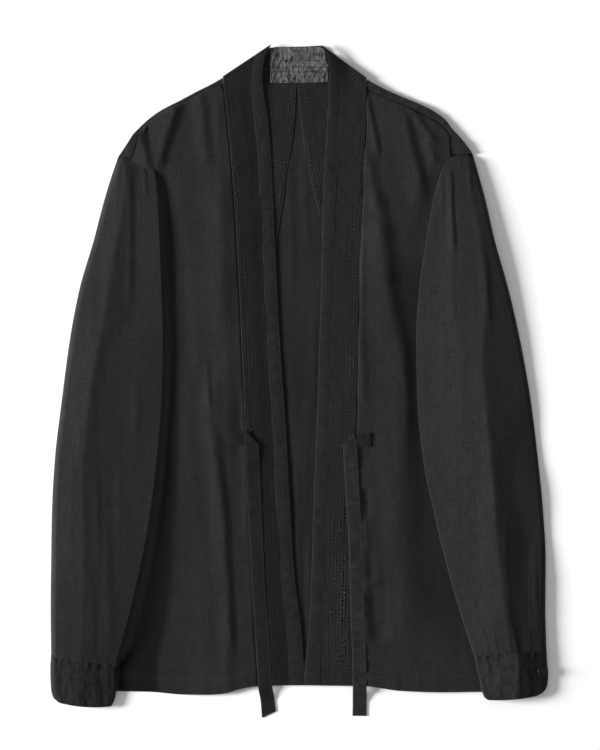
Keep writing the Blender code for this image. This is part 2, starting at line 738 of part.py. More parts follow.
def make_back(material):
    """The back lies flat on the floor: hem, side seams, armholes, shoulders and neck."""
    reach = SADDLE_UNDER + SEAM_GAP
    outline = [(row.across, row.down) for row in BACK_HEM]
    for row in reversed(rows_below(RIGHT_SADDLE)):
        outline.append((row.right, min(row.down, BACK_CORNER)))
    for row in reversed(RIGHT_SADDLE[:-1]):
        outline.append(saddle_end(row, reach))
    outline.append((NECK_RIGHT, NECK_SEAM_DOWN))
    outline.append((NECK_LEFT, NECK_SEAM_DOWN))
    for row in LEFT_SADDLE[:-1]:
        outline.append(saddle_end(row, reach))
    for row in rows_below(LEFT_SADDLE)[:-1]:
        outline.append((row.left, row.down))
    builder = bmesh.new()
    floor = [builder.verts.new(place(a, d, 0.0)) for a, d in outline]
    top = [builder.verts.new(place(a, d, CLOTH)) for a, d in outline]
    builder.faces.new(floor)
    builder.faces.new(top)
    for k in range(len(outline)):
        after = (k + 1) % len(outline)
        builder.faces.new((floor[k], floor[after], top[after], top[k]))
    return finish_mesh("back_panel", builder, material)


def saddle_end(row, reach):
    """End of a saddle's lower layer, reach inside the shoulder line."""
    run = (row.seam - row.fold, row.seam_down - row.fold_down)
    length = math.hypot(*run)
    return row.fold + run[0] / length * reach, row.fold_down + run[1] / length * reach


def make_saddle(name, table, material):
    """A narrow piece folded over the shoulder line, open towards the body."""
    loops = []
    for row in table:
        length = math.hypot(row.seam - row.fold, row.seam_down - row.fold_down)
        unit = ((row.seam - row.fold) / length, (row.seam_down - row.fold_down) / length)
        turn = 0.5 * SADDLE_HEIGHT
        corner = SADDLE_BEND - SADDLE_CHAMFER
        inside = SADDLE_HEIGHT - CLOTH
        section = (
            (SADDLE_UNDER, 0.0),
            (SADDLE_BEND, 0.0),
            (SADDLE_CHAMFER, corner),
            (0.0, turn),
            (SADDLE_CHAMFER, SADDLE_HEIGHT - corner),
            (SADDLE_BEND, SADDLE_HEIGHT),
            (length, SADDLE_HEIGHT),
            (length, inside),
            (CLOTH + SADDLE_CHAMFER, inside),
            (CLOTH, turn),
            (CLOTH + SADDLE_CHAMFER, CLOTH),
            (SADDLE_UNDER, CLOTH),
        )
        loops.append(
            [(row.fold + unit[0] * r, row.fold_down + unit[1] * r, h) for r, h in section]
        )
    return loop_piece(name, loops, material)


def make_front(name, side, saddle, band, material):
    """A front panel, blended between its shoulder, armhole and side, band seam and hem."""
    hem = LEFT_HEM if side < 0 else RIGHT_HEM
    seam = [(row.seam, row.seam_down) for row in saddle]
    shoulder = [(a, d + SEAM_GAP) for a, d in seam[:SHOULDER_ROWS]][::-1]
    armhole = [(a - side * SEAM_GAP, d) for a, d in seam[SHOULDER_ROWS:]]
    side_rows = rows_below(saddle, LEAST_ROW_STEP)[:-1]
    sewn_side = [(row.left if side < 0 else row.right, row.down) for row in side_rows]
    hem_path = [(row.across, row.down) for row in hem]
    side_path = [shoulder[0]] + armhole + sewn_side + [hem_path[0]]
    along_band = [(row.seam + side * SEAM_GAP, row.seam_down) for row in band[1:-1]]
    band_path = [shoulder[-1]] + along_band + [hem_path[-1]]
    top = []
    for k in range(FRONT_ROWS):
        v = (k / (FRONT_ROWS - 1)) ** FRONT_CROWDING
        line = []
        for j in range(FRONT_COLUMNS):
            u = j / (FRONT_COLUMNS - 1)
            across, down = blend_patch(side_path, band_path, shoulder, hem_path, u, v)
            line.append((across, down, front_top(side, across, down)))
        top.append(line)
    bottom = [[(a, d, h - CLOTH) for a, d, h in line] for line in top]
    return wall_piece(name, top, bottom, material)


def along_path(points, share):
    """Point at a share of the length of a path of straight runs."""
    lengths = [math.dist(a, b) for a, b in zip(points, points[1:])]
    left = share * sum(lengths)
    for (start, end), length in zip(zip(points, points[1:]), lengths):
        if left <= length:
            t = left / length
            return (start[0] + t * (end[0] - start[0]), start[1] + t * (end[1] - start[1]))
        left -= length
    return points[-1]


def blend_patch(left, right, top, bottom, u, v):
    """A point of the patch that four edge paths enclose."""
    on_left, on_right = along_path(left, v), along_path(right, v)
    on_top, on_bottom = along_path(top, u), along_path(bottom, u)
    point = []
    for axis in (0, 1):
        ruled = (1 - u) * on_left[axis] + u * on_right[axis]
        ruled += (1 - v) * on_top[axis] + v * on_bottom[axis]
        corner = (1 - u) * (1 - v) * top[0][axis] + u * (1 - v) * top[-1][axis]
        corner += (1 - u) * v * bottom[0][axis] + u * v * bottom[-1][axis]
        point.append(ruled - corner)
    return tuple(point)


def band_row(table, share):
    """A section of a collar band, at a share of its length along the seam."""
    knots = [k / (len(table) - 1) for k in range(len(table))]
    return BandRow(
        *(curve_through(knots, [getattr(r, c) for r in table], share) for c in BandRow._fields)
    )


def band_point(row, share):
    across = row.seam + share * (row.edge - row.seam)
    down = row.seam_down + share * (row.edge_down - row.seam_down)
    height = BAND_SEAM_HEIGHT + share * (BAND_EDGE_HEIGHT - BAND_SEAM_HEIGHT)
    return across, down, height


def band_sections(table):
    return [band_row(table, k / (BAND_STATIONS - 1)) for k in range(BAND_STATIONS)]


def make_band(name, table, material):
    """The quilted part of a collar band: its rows of stitching leave low ribs between them."""
    top = []
    bottom = []
    columns = 2 * QUILT_ROWS + 1
    for row in band_sections(table):
        quilted = 1.0 - ease((row.seam_down - QUILT_END) / QUILT_FADE)
        line = []
        for j in range(columns):
            across, down, height = band_point(row, BAND_SHARE * j / (columns - 1))
            line.append((across, down, height + QUILT_RISE * quilted * (j % 2)))
        top.append(line)
        bottom.append([(a, d, h - BAND_WALL) for a, d, h in (line[0], line[-1])])
    return wall_piece(name, top, bottom, material)


def make_band_edge(name, table, material):
    """The plain folded strip along the free edge of a collar band."""
    top = []
    bottom = []
    for row in band_sections(table):
        width = math.hypot(row.edge - row.seam, row.edge_down - row.seam_down)
        start = BAND_SHARE + SEAM_GAP / width
        over = []
        under = []
        for step in BAND_EDGE:
            across, down, height = band_point(row, start + (1.0 - start) * step.share)
            over.append((across, down, height + step.rise))
            under.append((across, down, height - step.sink))
        top.append(over)
        bottom.append(under)
    return wall_piece(name, top, bottom, material)


def make_stand(name, table, columns, rows_count, floor, wall, ripple, material):
    """An upright strip behind the neck, laid back flat."""
    first, last = table[0].across, table[-1].across
    top = []
    for k in range(rows_count):
        v = k / (rows_count - 1)
        line = []
        for j in range(columns):
            across = first + (last - first) * j / (columns - 1)
            high = read(table, "top", across, by="across")
            low = read(table, "bottom", across, by="across")
            down = high + v * (low - high)
            wave = ripple * math.sin(PATCH_WAVES * across + math.sin(0.4 * PATCH_WAVES * down))
            line.append((across, down, floor + wall + wave))
        top.append(line)
    bottom = [[(a, d, floor) for a, d, _ in line] for line in top]
    return wall_piece(name, top, bottom, material)


def make_facing(name, table, stations, columns, material):
    """A quilted facing that tapers to a point on the inside of the back."""
    first, last = table[0].down, table[-1].down
    floor = CLOTH + SEAM_GAP
    top = []
    bottom = []
    for k in range(stations):
        down = first + (last - first) * k / (stations - 1)
        free = read(table, "free", down)
        hidden = read(table, "hidden", down)
        line = []
        for j in range(columns):
            across = free + (hidden - free) * j / (columns - 1)
            line.append((across, down, floor + TRIM - FACING_RISE * (1 - j % 2)))
        top.append(line)
        bottom.append([(line[0][0], down, floor), (line[-1][0], down, floor)])
    return wall_piece(name, top, bottom, material)


def tie_sections(side, start, turn, level, table):
    """Sections of the tape: each has its two edges and the direction it faces."""
    half = 0.5 * TIE_WIDTH
    low = TIE_HEIGHT - 0.5 * TIE_WALL
    high = low + TIE_WALL + SEAM_GAP
    first = table[0]
    inner_edge = (turn, first.down)
    corner = (turn - side * TIE_WIDTH, level + half)
    sections = []
    for stub in TIE_STUB:
        across = start + stub.share * (turn - start)
        edges = ((across, level - half), (across, level + half))
        sections.append((*edges, low - stub.sink, 0.0))
    upper = (turn, level - half)
    for step in range(5):
        angle = 45.0 * step
        lift = low + (high - low) * (1.0 - math.cos(math.radians(angle))) / 2.0
        sections.append((upper, corner, lift, angle))
    sections.append((inner_edge, (corner[0], first.down + TIE_SLANT), high, 180.0))
    for before, row, after in zip(table, table[1:], table[2:] + table[-1:]):
        run = (after.across - before.across, after.down - before.down)
        length = math.hypot(*run)
        beside = (run[1] / length * half, -run[0] / length * half)
        centre = row.height - 0.5 * TIE_WALL
        ends = (
            (row.across + side * beside[0], row.down + side * beside[1]),
            (row.across - side * beside[0], row.down - side * beside[1]),
        )
        sections.append((*ends, centre, 180.0))
    return sections


def make_tie(name, side, start, turn, level, table, material):
    """A flat tape: a short sewn end, a slanting fold, and the hanging length."""
    loops = []
    for first, second, centre, angle in tie_sections(side, start, turn, level, table):
        radians = math.radians(angle)
        run = (second[0] - first[0], second[1] - first[1])
        length = math.hypot(*run)
        outward = (-side * run[1] / length, side * run[0] / length)
        if outward[0] * side > 0.0:
            outward = (-outward[0], -outward[1])
        lean = 0.5 * TIE_WALL * math.sin(radians)
        lift = 0.5 * TIE_WALL * math.cos(radians)
        bulge = (0.5 * TIE_WALL + TIE_BULGE) * math.sin(radians)
        loop = []
        for point, sign in ((first, -1.0), (second, -1.0), (second, 1.0), (first, 1.0)):
            shift = bulge - sign * lean
            loop.append(
                (
                    point[0] + outward[0] * shift,
                    point[1] + outward[1] * shift,
                    centre + sign * lift,
                )
            )
        loops.append(loop)
    return loop_piece(name, loops, material)


def make_button(name, centre, tilt, material):
    """A flat button with a raised rim, lying on the slope of the cuff."""
    builder = bmesh.new()
    rings = []
    for row in BUTTON:
        radius = BUTTON_RADIUS * row.radius
        ring = []
        for k in range(BUTTON_SIDES):
            angle = 2.0 * math.pi * k / BUTTON_SIDES
            along = radius * math.cos(angle)
            across = centre[0] + along * math.cos(tilt) - row.height * math.sin(tilt)
            down = centre[1] + radius * math.sin(angle)
            lifted = centre[2] + row.height * math.cos(tilt) + along * math.sin(tilt)
            ring.append(builder.verts.new(place(across, down, lifted)))
        rings.append(ring)
    for ring, following in zip(rings, rings[1:]):
        for k in range(BUTTON_SIDES):
            after = (k + 1) % BUTTON_SIDES
            builder.faces.new((ring[k], ring[after], following[after], following[k]))
    builder.faces.new(rings[0])
    builder.faces.new(rings[-1])
    return finish_mesh(name, builder, material)


def cuff_button_place():
    """A point near the outer edge of the right cuff, and the slope of the cuff there."""
    row = section_at(RIGHT_CUFF, BUTTON_DOWN)
    low = sleeve_top(1, row, (), BUTTON_SHARE - BUTTON_REACH)
    high = sleeve_top(1, row, (), BUTTON_SHARE + BUTTON_REACH)
    middle = sleeve_top(1, row, (), BUTTON_SHARE)
    tilt = math.atan((high[2] - low[2]) / (high[0] - low[0]))
    return (middle[0], BUTTON_DOWN, middle[2] + BUTTON_LIFT), tilt


def build():
    clear_scene()
    cloth = make_material("shirt_cloth", CLOTH_COLOUR, 0.85)
    quilted = make_material("quilted_cloth", CLOTH_COLOUR, 0.85)
    tape = make_material("tie_tape", CLOTH_COLOUR, 0.8)
    faded = make_material("faded_patch", PATCH_COLOUR, 0.8)
    plastic = make_material("button", BUTTON_COLOUR, 0.45)

    make_back(cloth)
    make_saddle("left_saddle", LEFT_SADDLE, cloth)
    make_saddle("right_saddle", RIGHT_SADDLE, cloth)
    make_front("left_front", -1, LEFT_SADDLE, LEFT_BAND, cloth)
    make_front("right_front", 1, RIGHT_SADDLE, RIGHT_BAND, cloth)

    left_sections = sections_down(LEFT_SLEEVE, SLEEVE_STATIONS, HEAD_CROWDING)
    right_sections = sections_down(RIGHT_SLEEVE, SLEEVE_STATIONS, HEAD_CROWDING)
    make_sleeve("left_sleeve", -1, left_sections, LEFT_SLEEVE_FOLDS, CLOTH, cloth)
    make_sleeve("right_sleeve", 1, right_sections, RIGHT_SLEEVE_FOLDS, CLOTH, cloth)
    make_placket("right_sleeve_placket", 1, right_sections, RIGHT_SLEEVE_FOLDS, cloth)
    make_sleeve("left_cuff", -1, sections_down(LEFT_CUFF, CUFF_STATIONS), (), CUFF_WALL, cloth)
    make_sleeve("right_cuff", 1, sections_down(RIGHT_CUFF, CUFF_STATIONS), (), CUFF_WALL, cloth)
    button_place, tilt = cuff_button_place()
    make_button("right_cuff_button", button_place, tilt, plastic)

    make_band("left_band", LEFT_BAND, quilted)
    make_band("right_band", RIGHT_BAND, quilted)
    make_band_edge("left_band_edge", LEFT_BAND, cloth)
    make_band_edge("right_band_edge", RIGHT_BAND, cloth)
    patch_floor = NECK_BAND_WALL + SEAM_GAP
    make_stand("neck_stand", NECK_STAND, 15, 3, 0.0, NECK_BAND_WALL, 0.0, cloth)
    make_stand("neck_patch", NECK_PATCH, 21, 6, patch_floor, TRIM, PATCH_RIPPLE, faded)
    make_facing("left_neck_facing", LEFT_FACING, 9, 9, quilted)
    make_facing("right_neck_facing", RIGHT_FACING, 9, 9, quilted)
    make_tie("left_tie", -1, LEFT_TIE_START, LEFT_TIE_TURN, LEFT_TIE_LEVEL, LEFT_TIE, tape)
    make_tie("right_tie", 1, RIGHT_TIE_START, RIGHT_TIE_TURN, RIGHT_TIE_LEVEL, RIGHT_TIE, tape)


build()
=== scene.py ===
# A kimono shirt laid flat on its back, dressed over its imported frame.
# Pattern points are in millimetres: across, down from the top of the collar, height above the floor.
import math
import bpy
import numpy as np
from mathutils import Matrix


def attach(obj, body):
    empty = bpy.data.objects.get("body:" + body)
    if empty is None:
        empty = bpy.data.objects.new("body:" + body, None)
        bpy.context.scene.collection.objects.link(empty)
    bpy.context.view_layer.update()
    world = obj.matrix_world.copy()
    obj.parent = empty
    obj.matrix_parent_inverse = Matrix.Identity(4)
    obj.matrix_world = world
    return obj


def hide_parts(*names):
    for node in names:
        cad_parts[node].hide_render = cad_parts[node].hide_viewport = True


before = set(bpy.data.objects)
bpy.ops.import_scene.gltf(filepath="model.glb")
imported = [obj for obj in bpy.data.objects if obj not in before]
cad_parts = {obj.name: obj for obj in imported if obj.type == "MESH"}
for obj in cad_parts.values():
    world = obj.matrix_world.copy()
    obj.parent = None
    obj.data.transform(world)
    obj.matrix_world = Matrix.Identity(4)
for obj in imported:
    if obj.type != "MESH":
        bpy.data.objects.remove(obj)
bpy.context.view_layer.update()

pattern = {
    "middle": 0.3,      # the centre line of the laid shirt
    "top": 402.6,       # from the top of the collar down to the middle of the shirt
    "wall": 1.2,        # one layer of cloth with its seam allowance
    "underSleeve": 3.5, # height of the body under the sleeves
    "gap": 0.35,
    "bodySide": [       # down, left, right: side seams and armholes
        (98, -189.4, 181.4), (110, -193.6, 180.8), (122, -196, 180.8), (135, -198.6, 182),
        (160, -203, 186), (192, -215, 200), (234, -232, 218), (262, -242, 229),
        (290, -248, 237), (426, -251, 246), (606, -253, 252), (775, -255.6, 255.6),
    ],
    "leftHem": [        # across, down
        (-255.6, 774), (-178.8, 775.2), (-142.8, 778.2), (-112.8, 778.8), (-92.4, 777.6),
        (-70.8, 771.8), (-49.6, 767.2),
    ],
    "rightHem": [
        (255.6, 774.6), (175.2, 775.8), (121.2, 774), (97.2, 770.6), (80.4, 768.2),
        (65.6, 767.2),
    ],
}

sideNames = {-1: "left", 1: "right"}


# small curves and noise

def ease(t):
    t = np.clip(t, 0.0, 1.0)
    return t * t * (3.0 - 2.0 * t)


def softLine(distance, width):
    # 1 at no distance, falling off smoothly to both sides
    return np.exp(-(distance / width) ** 2)


def curve(knots, values, at):
    # a smooth curve through a few knots that never swings past them
    knots, values = np.asarray(knots, float), np.asarray(values, float)
    if knots[0] > knots[-1]:
        knots, values = knots[::-1], values[::-1]
    step = np.diff(knots)
    rate = np.diff(values) / step
    tangent = np.empty_like(values)
    tangent[0], tangent[-1] = rate[0], rate[-1]
    agree = rate[:-1] * rate[1:] > 0
    total = np.where(agree, rate[:-1] + rate[1:], 1.0)
    tangent[1:-1] = np.where(agree, 2.0 * rate[:-1] * rate[1:] / total, 0.0)
    at = np.clip(at, knots[0], knots[-1])
    k = np.clip(np.searchsorted(knots, at, side="right") - 1, 0, len(step) - 1)
    t = (at - knots[k]) / step[k]
    start = (1 + 2 * t) * (1 - t) ** 2 * values[k] + t * (1 - t) ** 2 * step[k] * tangent[k]
    end = t * t * (3 - 2 * t) * values[k + 1] + t * t * (t - 1) * step[k] * tangent[k + 1]
    return start + end


def column(rows, index, at, by=0):
    table = np.array(rows, float)
    return curve(table[:, by], table[:, index], at)


def hills(u, v, seed):
    # smooth random hills between -1 and 1, one to each unit square
    lattice = np.random.RandomState(seed).uniform(-1.0, 1.0, (61, 67))
    i, j = np.floor(u).astype(int), np.floor(v).astype(int)
    fu, fv = ease(u - i), ease(v - j)
    near = lattice[i % 61, j % 67] * (1 - fu) + lattice[(i + 1) % 61, j % 67] * fu
    far = lattice[i % 61, (j + 1) % 67] * (1 - fu) + lattice[(i + 1) % 61, (j + 1) % 67] * fu
    return near * (1 - fv) + far * fv


def slope(t, soft):
    # a straight slope from 0 to 1 with slightly rounded ends
    return soft * (np.logaddexp(0.0, t / soft) - np.logaddexp(0.0, (t - 1.0) / soft))


def foldHeights(table, across, down):
    # each fold: across, down, to across, to down, bow, gentle side, steep side, rise
    # the steep side faces right, away from the light
    total = np.zeros(np.broadcast(across, down).shape)
    for k, (x0, y0, x1, y1, bow, gentle, steep, rise) in enumerate(table):
        length = math.hypot(x1 - x0, y1 - y0)
        ux, uy = (x1 - x0) / length, (y1 - y0) / length
        share = ((across - x0) * ux + (down - y0) * uy) / length
        beside = (across - x0) * uy - (down - y0) * ux
        wander = 1.1 * hills(share * length / 34.0, k * 3.7, 40 + k)
        offset = beside - bow * np.sin(np.pi * np.clip(share, 0, 1)) - wander
        fade = ease(share / 0.25) * ease((1.0 - share) / 0.25)
        strength = 1.0 + 0.25 * hills(share * length / 55.0, k * 1.3, 41 + k)
        body = slope(1.0 + offset / gentle, 0.12) - slope(offset / steep, 0.1)
        total += rise * fade * strength * body
    return total


def creases(across, down, size, seed, lengthwise=7.0):
    # the light crumple of washed cloth, drawn out along the grain
    tall = hills(across / 16.0, down / (16.0 * lengthwise), seed)
    fine = hills(across / 6.5 + 9.1, down / (6.5 * lengthwise), seed + 1)
    loose = hills(across / 34.0 + down / 90.0, down / 60.0, seed + 2)
    return size * (0.5 * tall + 0.22 * fine + 0.9 * loose)


# meshes from grids of pattern points

def gridOf(across, down, height):
    return np.stack([across, down, height], axis=2)


def toWorld(points):
    world = np.array(points, float)
    world[..., 0] -= pattern["middle"]
    world[..., 1] = pattern["top"] - world[..., 1]
    return world * 0.001


def rimSteps(wall, turn):
    half = wall / 2.0
    bend = [(half * math.sin(a), half - half * math.cos(a)) for a in (0.9, 1.6, 2.4)]
    return bend + [(0.0, wall), (-turn, wall)]


def padStart(points, drop, tone, steps):
    away = points[0, :, :2] - points[1, :, :2]
    away /= np.linalg.norm(away, axis=1, keepdims=True) + 1e-9
    rows, drops = [], []
    for out, sink in steps:
        row = points[0].copy()
        row[:, :2] += away * out
        rows.insert(0, row)
        drops.insert(0, np.maximum(drop[0], sink))
    tones = np.repeat(tone[:1], len(steps), axis=0)
    return (
        np.concatenate([np.array(rows), points]),
        np.concatenate([np.array(drops), drop]),
        np.concatenate([tones, tone]),
    )


def withRim(points, tone, wall, turn, sides="tblr"):
    # rounds the edges of a sheet over and turns them under, as a seam allowance is
    steps = rimSteps(wall, turn)
    state = [points, np.zeros(points.shape[:2]), tone]
    turns = {
        "t": (lambda a: a, lambda a: a),
        "b": (lambda a: a[::-1], lambda a: a[::-1]),
        "l": (lambda a: a.swapaxes(0, 1), lambda a: a.swapaxes(0, 1)),
        "r": (lambda a: a[:, ::-1].swapaxes(0, 1), lambda a: a.swapaxes(0, 1)[:, ::-1]),
    }
    for side in sides:
        there, home = turns[side]
        state = [home(a) for a in padStart(*[there(a) for a in state], steps)]
    points, drop, tone = state
    points = points.copy()
    points[..., 2] -= drop
    return points, tone


def gridFaces(rows, columns, wrapRows, wrapColumns, first):
    r = np.arange(rows if wrapRows else rows - 1)[:, None]
    c = np.arange(columns if wrapColumns else columns - 1)[None, :]
    r2, c2 = (r + 1) % rows, (c + 1) % columns
    quads = [r * columns + c, r * columns + c2, r2 * columns + c2, r2 * columns + c]
    return np.stack([q.ravel() for q in quads], axis=1) + first


def addObject(name, data):
    item = bpy.data.objects.new(name, data)
    bpy.context.scene.collection.objects.link(item)
    return item


def addMesh(name, verts, faces, material):
    mesh = bpy.data.meshes.new(name)
    mesh.from_pydata(verts.tolist(), [], faces)
    mesh.shade_smooth()
    mesh.materials.append(material)
    return addObject(name, mesh)


def makePiece(name, parts, material, grain=0.0):
    # one mesh from one or more grids of (points, tone, wrap rows, wrap columns)
    verts, faces, tones, first = [], [], [], 0
    for points, tone, wrapRows, wrapColumns in parts:
        rows, columns = points.shape[:2]
        quads = gridFaces(rows, columns, wrapRows, wrapColumns, first)
        flat = toWorld(points).reshape(-1, 3)
        flat[:, 2] = np.maximum(flat[:, 2], 0.0)
        a, b, c = (flat[quads[:, k] - first] for k in (0, 1, 2))
        lifts = np.cross(b - a, c - b)[:, 2] * (a[:, 2] > np.median(a[:, 2]))
        if lifts.sum() < 0:
            quads = quads[:, ::-1]
        verts.append(flat)
        faces.append(quads)
        tones.append(np.broadcast_to(tone, (rows, columns)).ravel())
        first += rows * columns
    verts, faces, tones = np.concatenate(verts), np.concatenate(faces), np.concatenate(tones)
    piece = addMesh(name, verts, faces.tolist(), material)
    mesh = piece.data
    weave = mesh.uv_layers.new(name="weave")
    turn = math.radians(grain)
    u = verts[:, 0] * math.cos(turn) + verts[:, 1] * math.sin(turn)
    v = verts[:, 1] * math.cos(turn) - verts[:, 0] * math.sin(turn)
    weave.data.foreach_set("uv", np.stack([u, v], axis=1)[faces.ravel()].ravel())
    mesh.attributes.new("tone", "FLOAT", "POINT").data.foreach_set("value", tones)
    return piece


def makeSheet(name, points, tone, material, rim, sides="tblr", grain=0.0):
    # one sheet of cloth, its edges rounded over and turned under
    top, topTone = withRim(points, tone, *rim, sides)
    return makePiece(name, [(top, topTone, False, False)], material, grain)


def onFrame(piece, node, slotName, flat=None, area=None, restsOn=(), held="laid"):
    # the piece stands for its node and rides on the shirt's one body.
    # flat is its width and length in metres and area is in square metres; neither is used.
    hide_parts(node)
    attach(piece, "root")


# stitches

def gridLine(points, rows, columns):
    # points on a grid at fractional rows and columns
    rows, columns = np.broadcast_arrays(np.asarray(rows, float), np.asarray(columns, float))
    i = np.clip(np.floor(rows).astype(int), 0, points.shape[0] - 2)
    j = np.clip(np.floor(columns).astype(int), 0, points.shape[1] - 2)
    a, b = (rows - i)[:, None], (columns - j)[:, None]
    near = points[i, j] * (1 - b) + points[i, j + 1] * b
    far = points[i + 1, j] * (1 - b) + points[i + 1, j + 1] * b
    return near * (1 - a) + far * a


def stitchRun(points, rows, columns, seed, pitch=2.4, length=1.9, lift=0.12):
    # starts and ends of slightly uneven stitches along a line over a grid of points
    # pitch, length and lift in millimetres
    line = gridLine(points, rows, columns)
    uneven, sway = 0.12, 0.12
    along = np.concatenate([[0], np.cumsum(np.linalg.norm(np.diff(line, axis=0), axis=1))])
    count = max(int(along[-1] / pitch), 1)
    draw = np.random.RandomState(seed)
    starts = (np.arange(count) + 0.2) * pitch + draw.uniform(-uneven, uneven, count) * pitch
    lengths = length * draw.uniform(0.85, 1.12, count)
    ends = []
    for at in (starts, starts + lengths):
        point = np.stack([np.interp(at, along, line[:, k]) for k in range(3)], axis=1)
        point[:, :2] += draw.uniform(-sway, sway, (count, 2))
        point[:, 2] += lift
        ends.append(point)
    return ends


def makeStitches(name, runs, width=0.42, height=0.22, thread=None):
    # every stitch is a small spindle that dips into the cloth at both ends
    starts = toWorld(np.concatenate([run[0] for run in runs]))
    ends = toWorld(np.concatenate([run[1] for run in runs]))
    along = ends - starts
    beside = np.cross(along, (0.0, 0.0, 1.0))
    beside /= np.linalg.norm(beside, axis=1, keepdims=True) + 1e-12
    up = np.cross(beside, along)
    up /= np.linalg.norm(up, axis=1, keepdims=True) + 1e-12
    half, tall = width * 0.0005, height * 0.001
    verts = [starts - up * tall]
    for share in (0.2, 0.8):
        middle = starts + along * share
        verts += [middle + beside * half, middle + up * tall, middle - beside * half]
        verts.append(middle - up * tall)
    verts.append(ends - up * tall)
    verts = np.stack(verts, axis=1).reshape(-1, 3)
    sides = [(k + 1, (k + 1) % 4 + 1) for k in range(4)]
    base = np.arange(len(starts)) * 10
    triangles = [[0, b, a] for a, b in sides] + [[9, a + 4, b + 4] for a, b in sides]
    quads = [[a, b, b + 4, a + 4] for a, b in sides]
    faces = []
    for shape in triangles + quads:
        faces += (base[:, None] + np.array(shape)).tolist()
    piece = addMesh(name, verts, faces, thread or blackThread)
    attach(piece, "root")


# materials

def newMaterial(name):
    material = bpy.data.materials.new(name)
    material.use_nodes = True
    tree = material.node_tree
    return material, tree, tree.nodes["Principled BSDF"]


def setInputs(node, values):
    for name, value in values.items():
        node.inputs[name].default_value = value


def calculate(tree, operation, *values):
    node = tree.nodes.new("ShaderNodeMath")
    node.operation = operation
    for k, value in enumerate(values):
        if isinstance(value, (int, float)):
            node.inputs[k].default_value = value
        else:
            tree.links.new(value, node.inputs[k])
    return node.outputs[0]


def weighed(tree, source, share, base):
    # a share of one value on top of another
    return calculate(tree, "ADD", calculate(tree, "MULTIPLY", source, share), base)


def tinted(tree, shader, colour, shade):
    tint = tree.nodes.new("ShaderNodeVectorMath")
    tint.operation = "SCALE"
    tint.inputs[0].default_value = colour
    tree.links.new(shade, tint.inputs["Scale"])
    tree.links.new(tint.outputs["Vector"], shader.inputs["Base Color"])


def noiseAt(tree, vector, stretch, detail):
    # noise with its own scale along and across the grain
    mapping = tree.nodes.new("ShaderNodeMapping")
    mapping.inputs["Scale"].default_value = stretch
    tree.links.new(vector, mapping.inputs["Vector"])
    node = tree.nodes.new("ShaderNodeTexNoise")
    setInputs(node, {"Scale": 1.0, "Detail": detail})
    tree.links.new(mapping.outputs["Vector"], node.inputs["Vector"])
    return node.outputs["Fac"]


def clothMaterial(name, look):
    material, tree, shader = newMaterial(name)
    grain = tree.nodes.new("ShaderNodeUVMap")
    grain.uv_map = "weave"
    split = tree.nodes.new("ShaderNodeSeparateXYZ")
    tree.links.new(grain.outputs["UV"], split.inputs["Vector"])
    turns = math.pi / look["yarn"]
    warp, weft = (calculate(tree, "SINE", calculate(tree, "MULTIPLY", split.outputs[axis], turns))
                  for axis in "XY")
    over = calculate(tree, "GREATER_THAN", calculate(tree, "MULTIPLY", warp, weft), 0.0)
    beneath = calculate(tree, "SUBTRACT", 1.0, over)
    warpYarn = calculate(tree, "MULTIPLY", calculate(tree, "ABSOLUTE", warp), over)
    weftYarn = calculate(tree, "MULTIPLY", calculate(tree, "ABSOLUTE", weft), beneath)
    weave = calculate(tree, "ADD", warpYarn, weftYarn)
    uv = grain.outputs["UV"]
    warpSlub = noiseAt(tree, uv, (look["slub"], look["slub"] / 14.0, 1.0), 3.0)
    weftSlub = noiseAt(tree, uv, (look["slub"] / 11.0, look["slub"], 1.0), 3.0)
    grainNoise = noiseAt(tree, uv, (620.0, 620.0, 1.0), 3.0)
    mottle = noiseAt(tree, uv, (22.0, 9.0, 1.0), 4.0)
    shade = 1.0
    for source, share in ((warpSlub, look["warpShare"]), (weftSlub, look["weftShare"]),
                          (mottle, look["mottle"]), (weave, 0.3), (grainNoise, look["grain"])):
        shade = weighed(tree, calculate(tree, "SUBTRACT", source, 0.5), share, shade)
    tone = tree.nodes.new("ShaderNodeAttribute")
    tone.attribute_name = "tone"
    shade = calculate(tree, "MAXIMUM", calculate(tree, "MULTIPLY", shade, tone.outputs["Fac"]), 0.1)
    tinted(tree, shader, look["colour"], shade)
    relief = weighed(tree, weftSlub, 1.2, weighed(tree, warpSlub, 1.6, weave))
    bump = tree.nodes.new("ShaderNodeBump")
    setInputs(bump, {"Strength": 0.7, "Distance": look["relief"]})
    tree.links.new(relief, bump.inputs["Height"])
    tree.links.new(bump.outputs["Normal"], shader.inputs["Normal"])
    tree.links.new(weighed(tree, warpSlub, 0.15, look["rough"]), shader.inputs["Roughness"])
    setInputs(shader, {"Specular IOR Level": look["specular"], "Sheen Weight": look["sheen"],
                       "Sheen Roughness": 0.45})
    return material


plainWeave = {
    "yarn": 0.00042, "slub": 760.0, "grain": 0.9, "relief": 0.00012, "specular": 0.14, "sheen": 0.045,
}
looks = {
    "shirt": {
        **plainWeave, "colour": (0.0157, 0.0157, 0.0160), "warpShare": 1.4, "weftShare": 1.1,
        "mottle": 0.3, "grain": 0.7, "rough": 0.78,
    },
    "quilted": {
        **plainWeave, "colour": (0.0124, 0.0124, 0.0127), "warpShare": 1.1, "weftShare": 1.0,
        "mottle": 0.4, "rough": 0.8,
    },
    "tape": {
        **plainWeave, "colour": (0.0152, 0.0152, 0.0155), "yarn": 0.00038, "slub": 900.0,
        "warpShare": 1.0, "weftShare": 0.8, "mottle": 0.4, "relief": 0.0001, "rough": 0.78,
    },
    "patch": {
        "colour": (0.079, 0.079, 0.079), "yarn": 0.00045, "slub": 420.0, "warpShare": 0.7,
        "weftShare": 0.8, "mottle": 0.7, "grain": 0.6, "relief": 0.00015, "rough": 0.75,
        "specular": 0.25, "sheen": 0.06,
    },
}


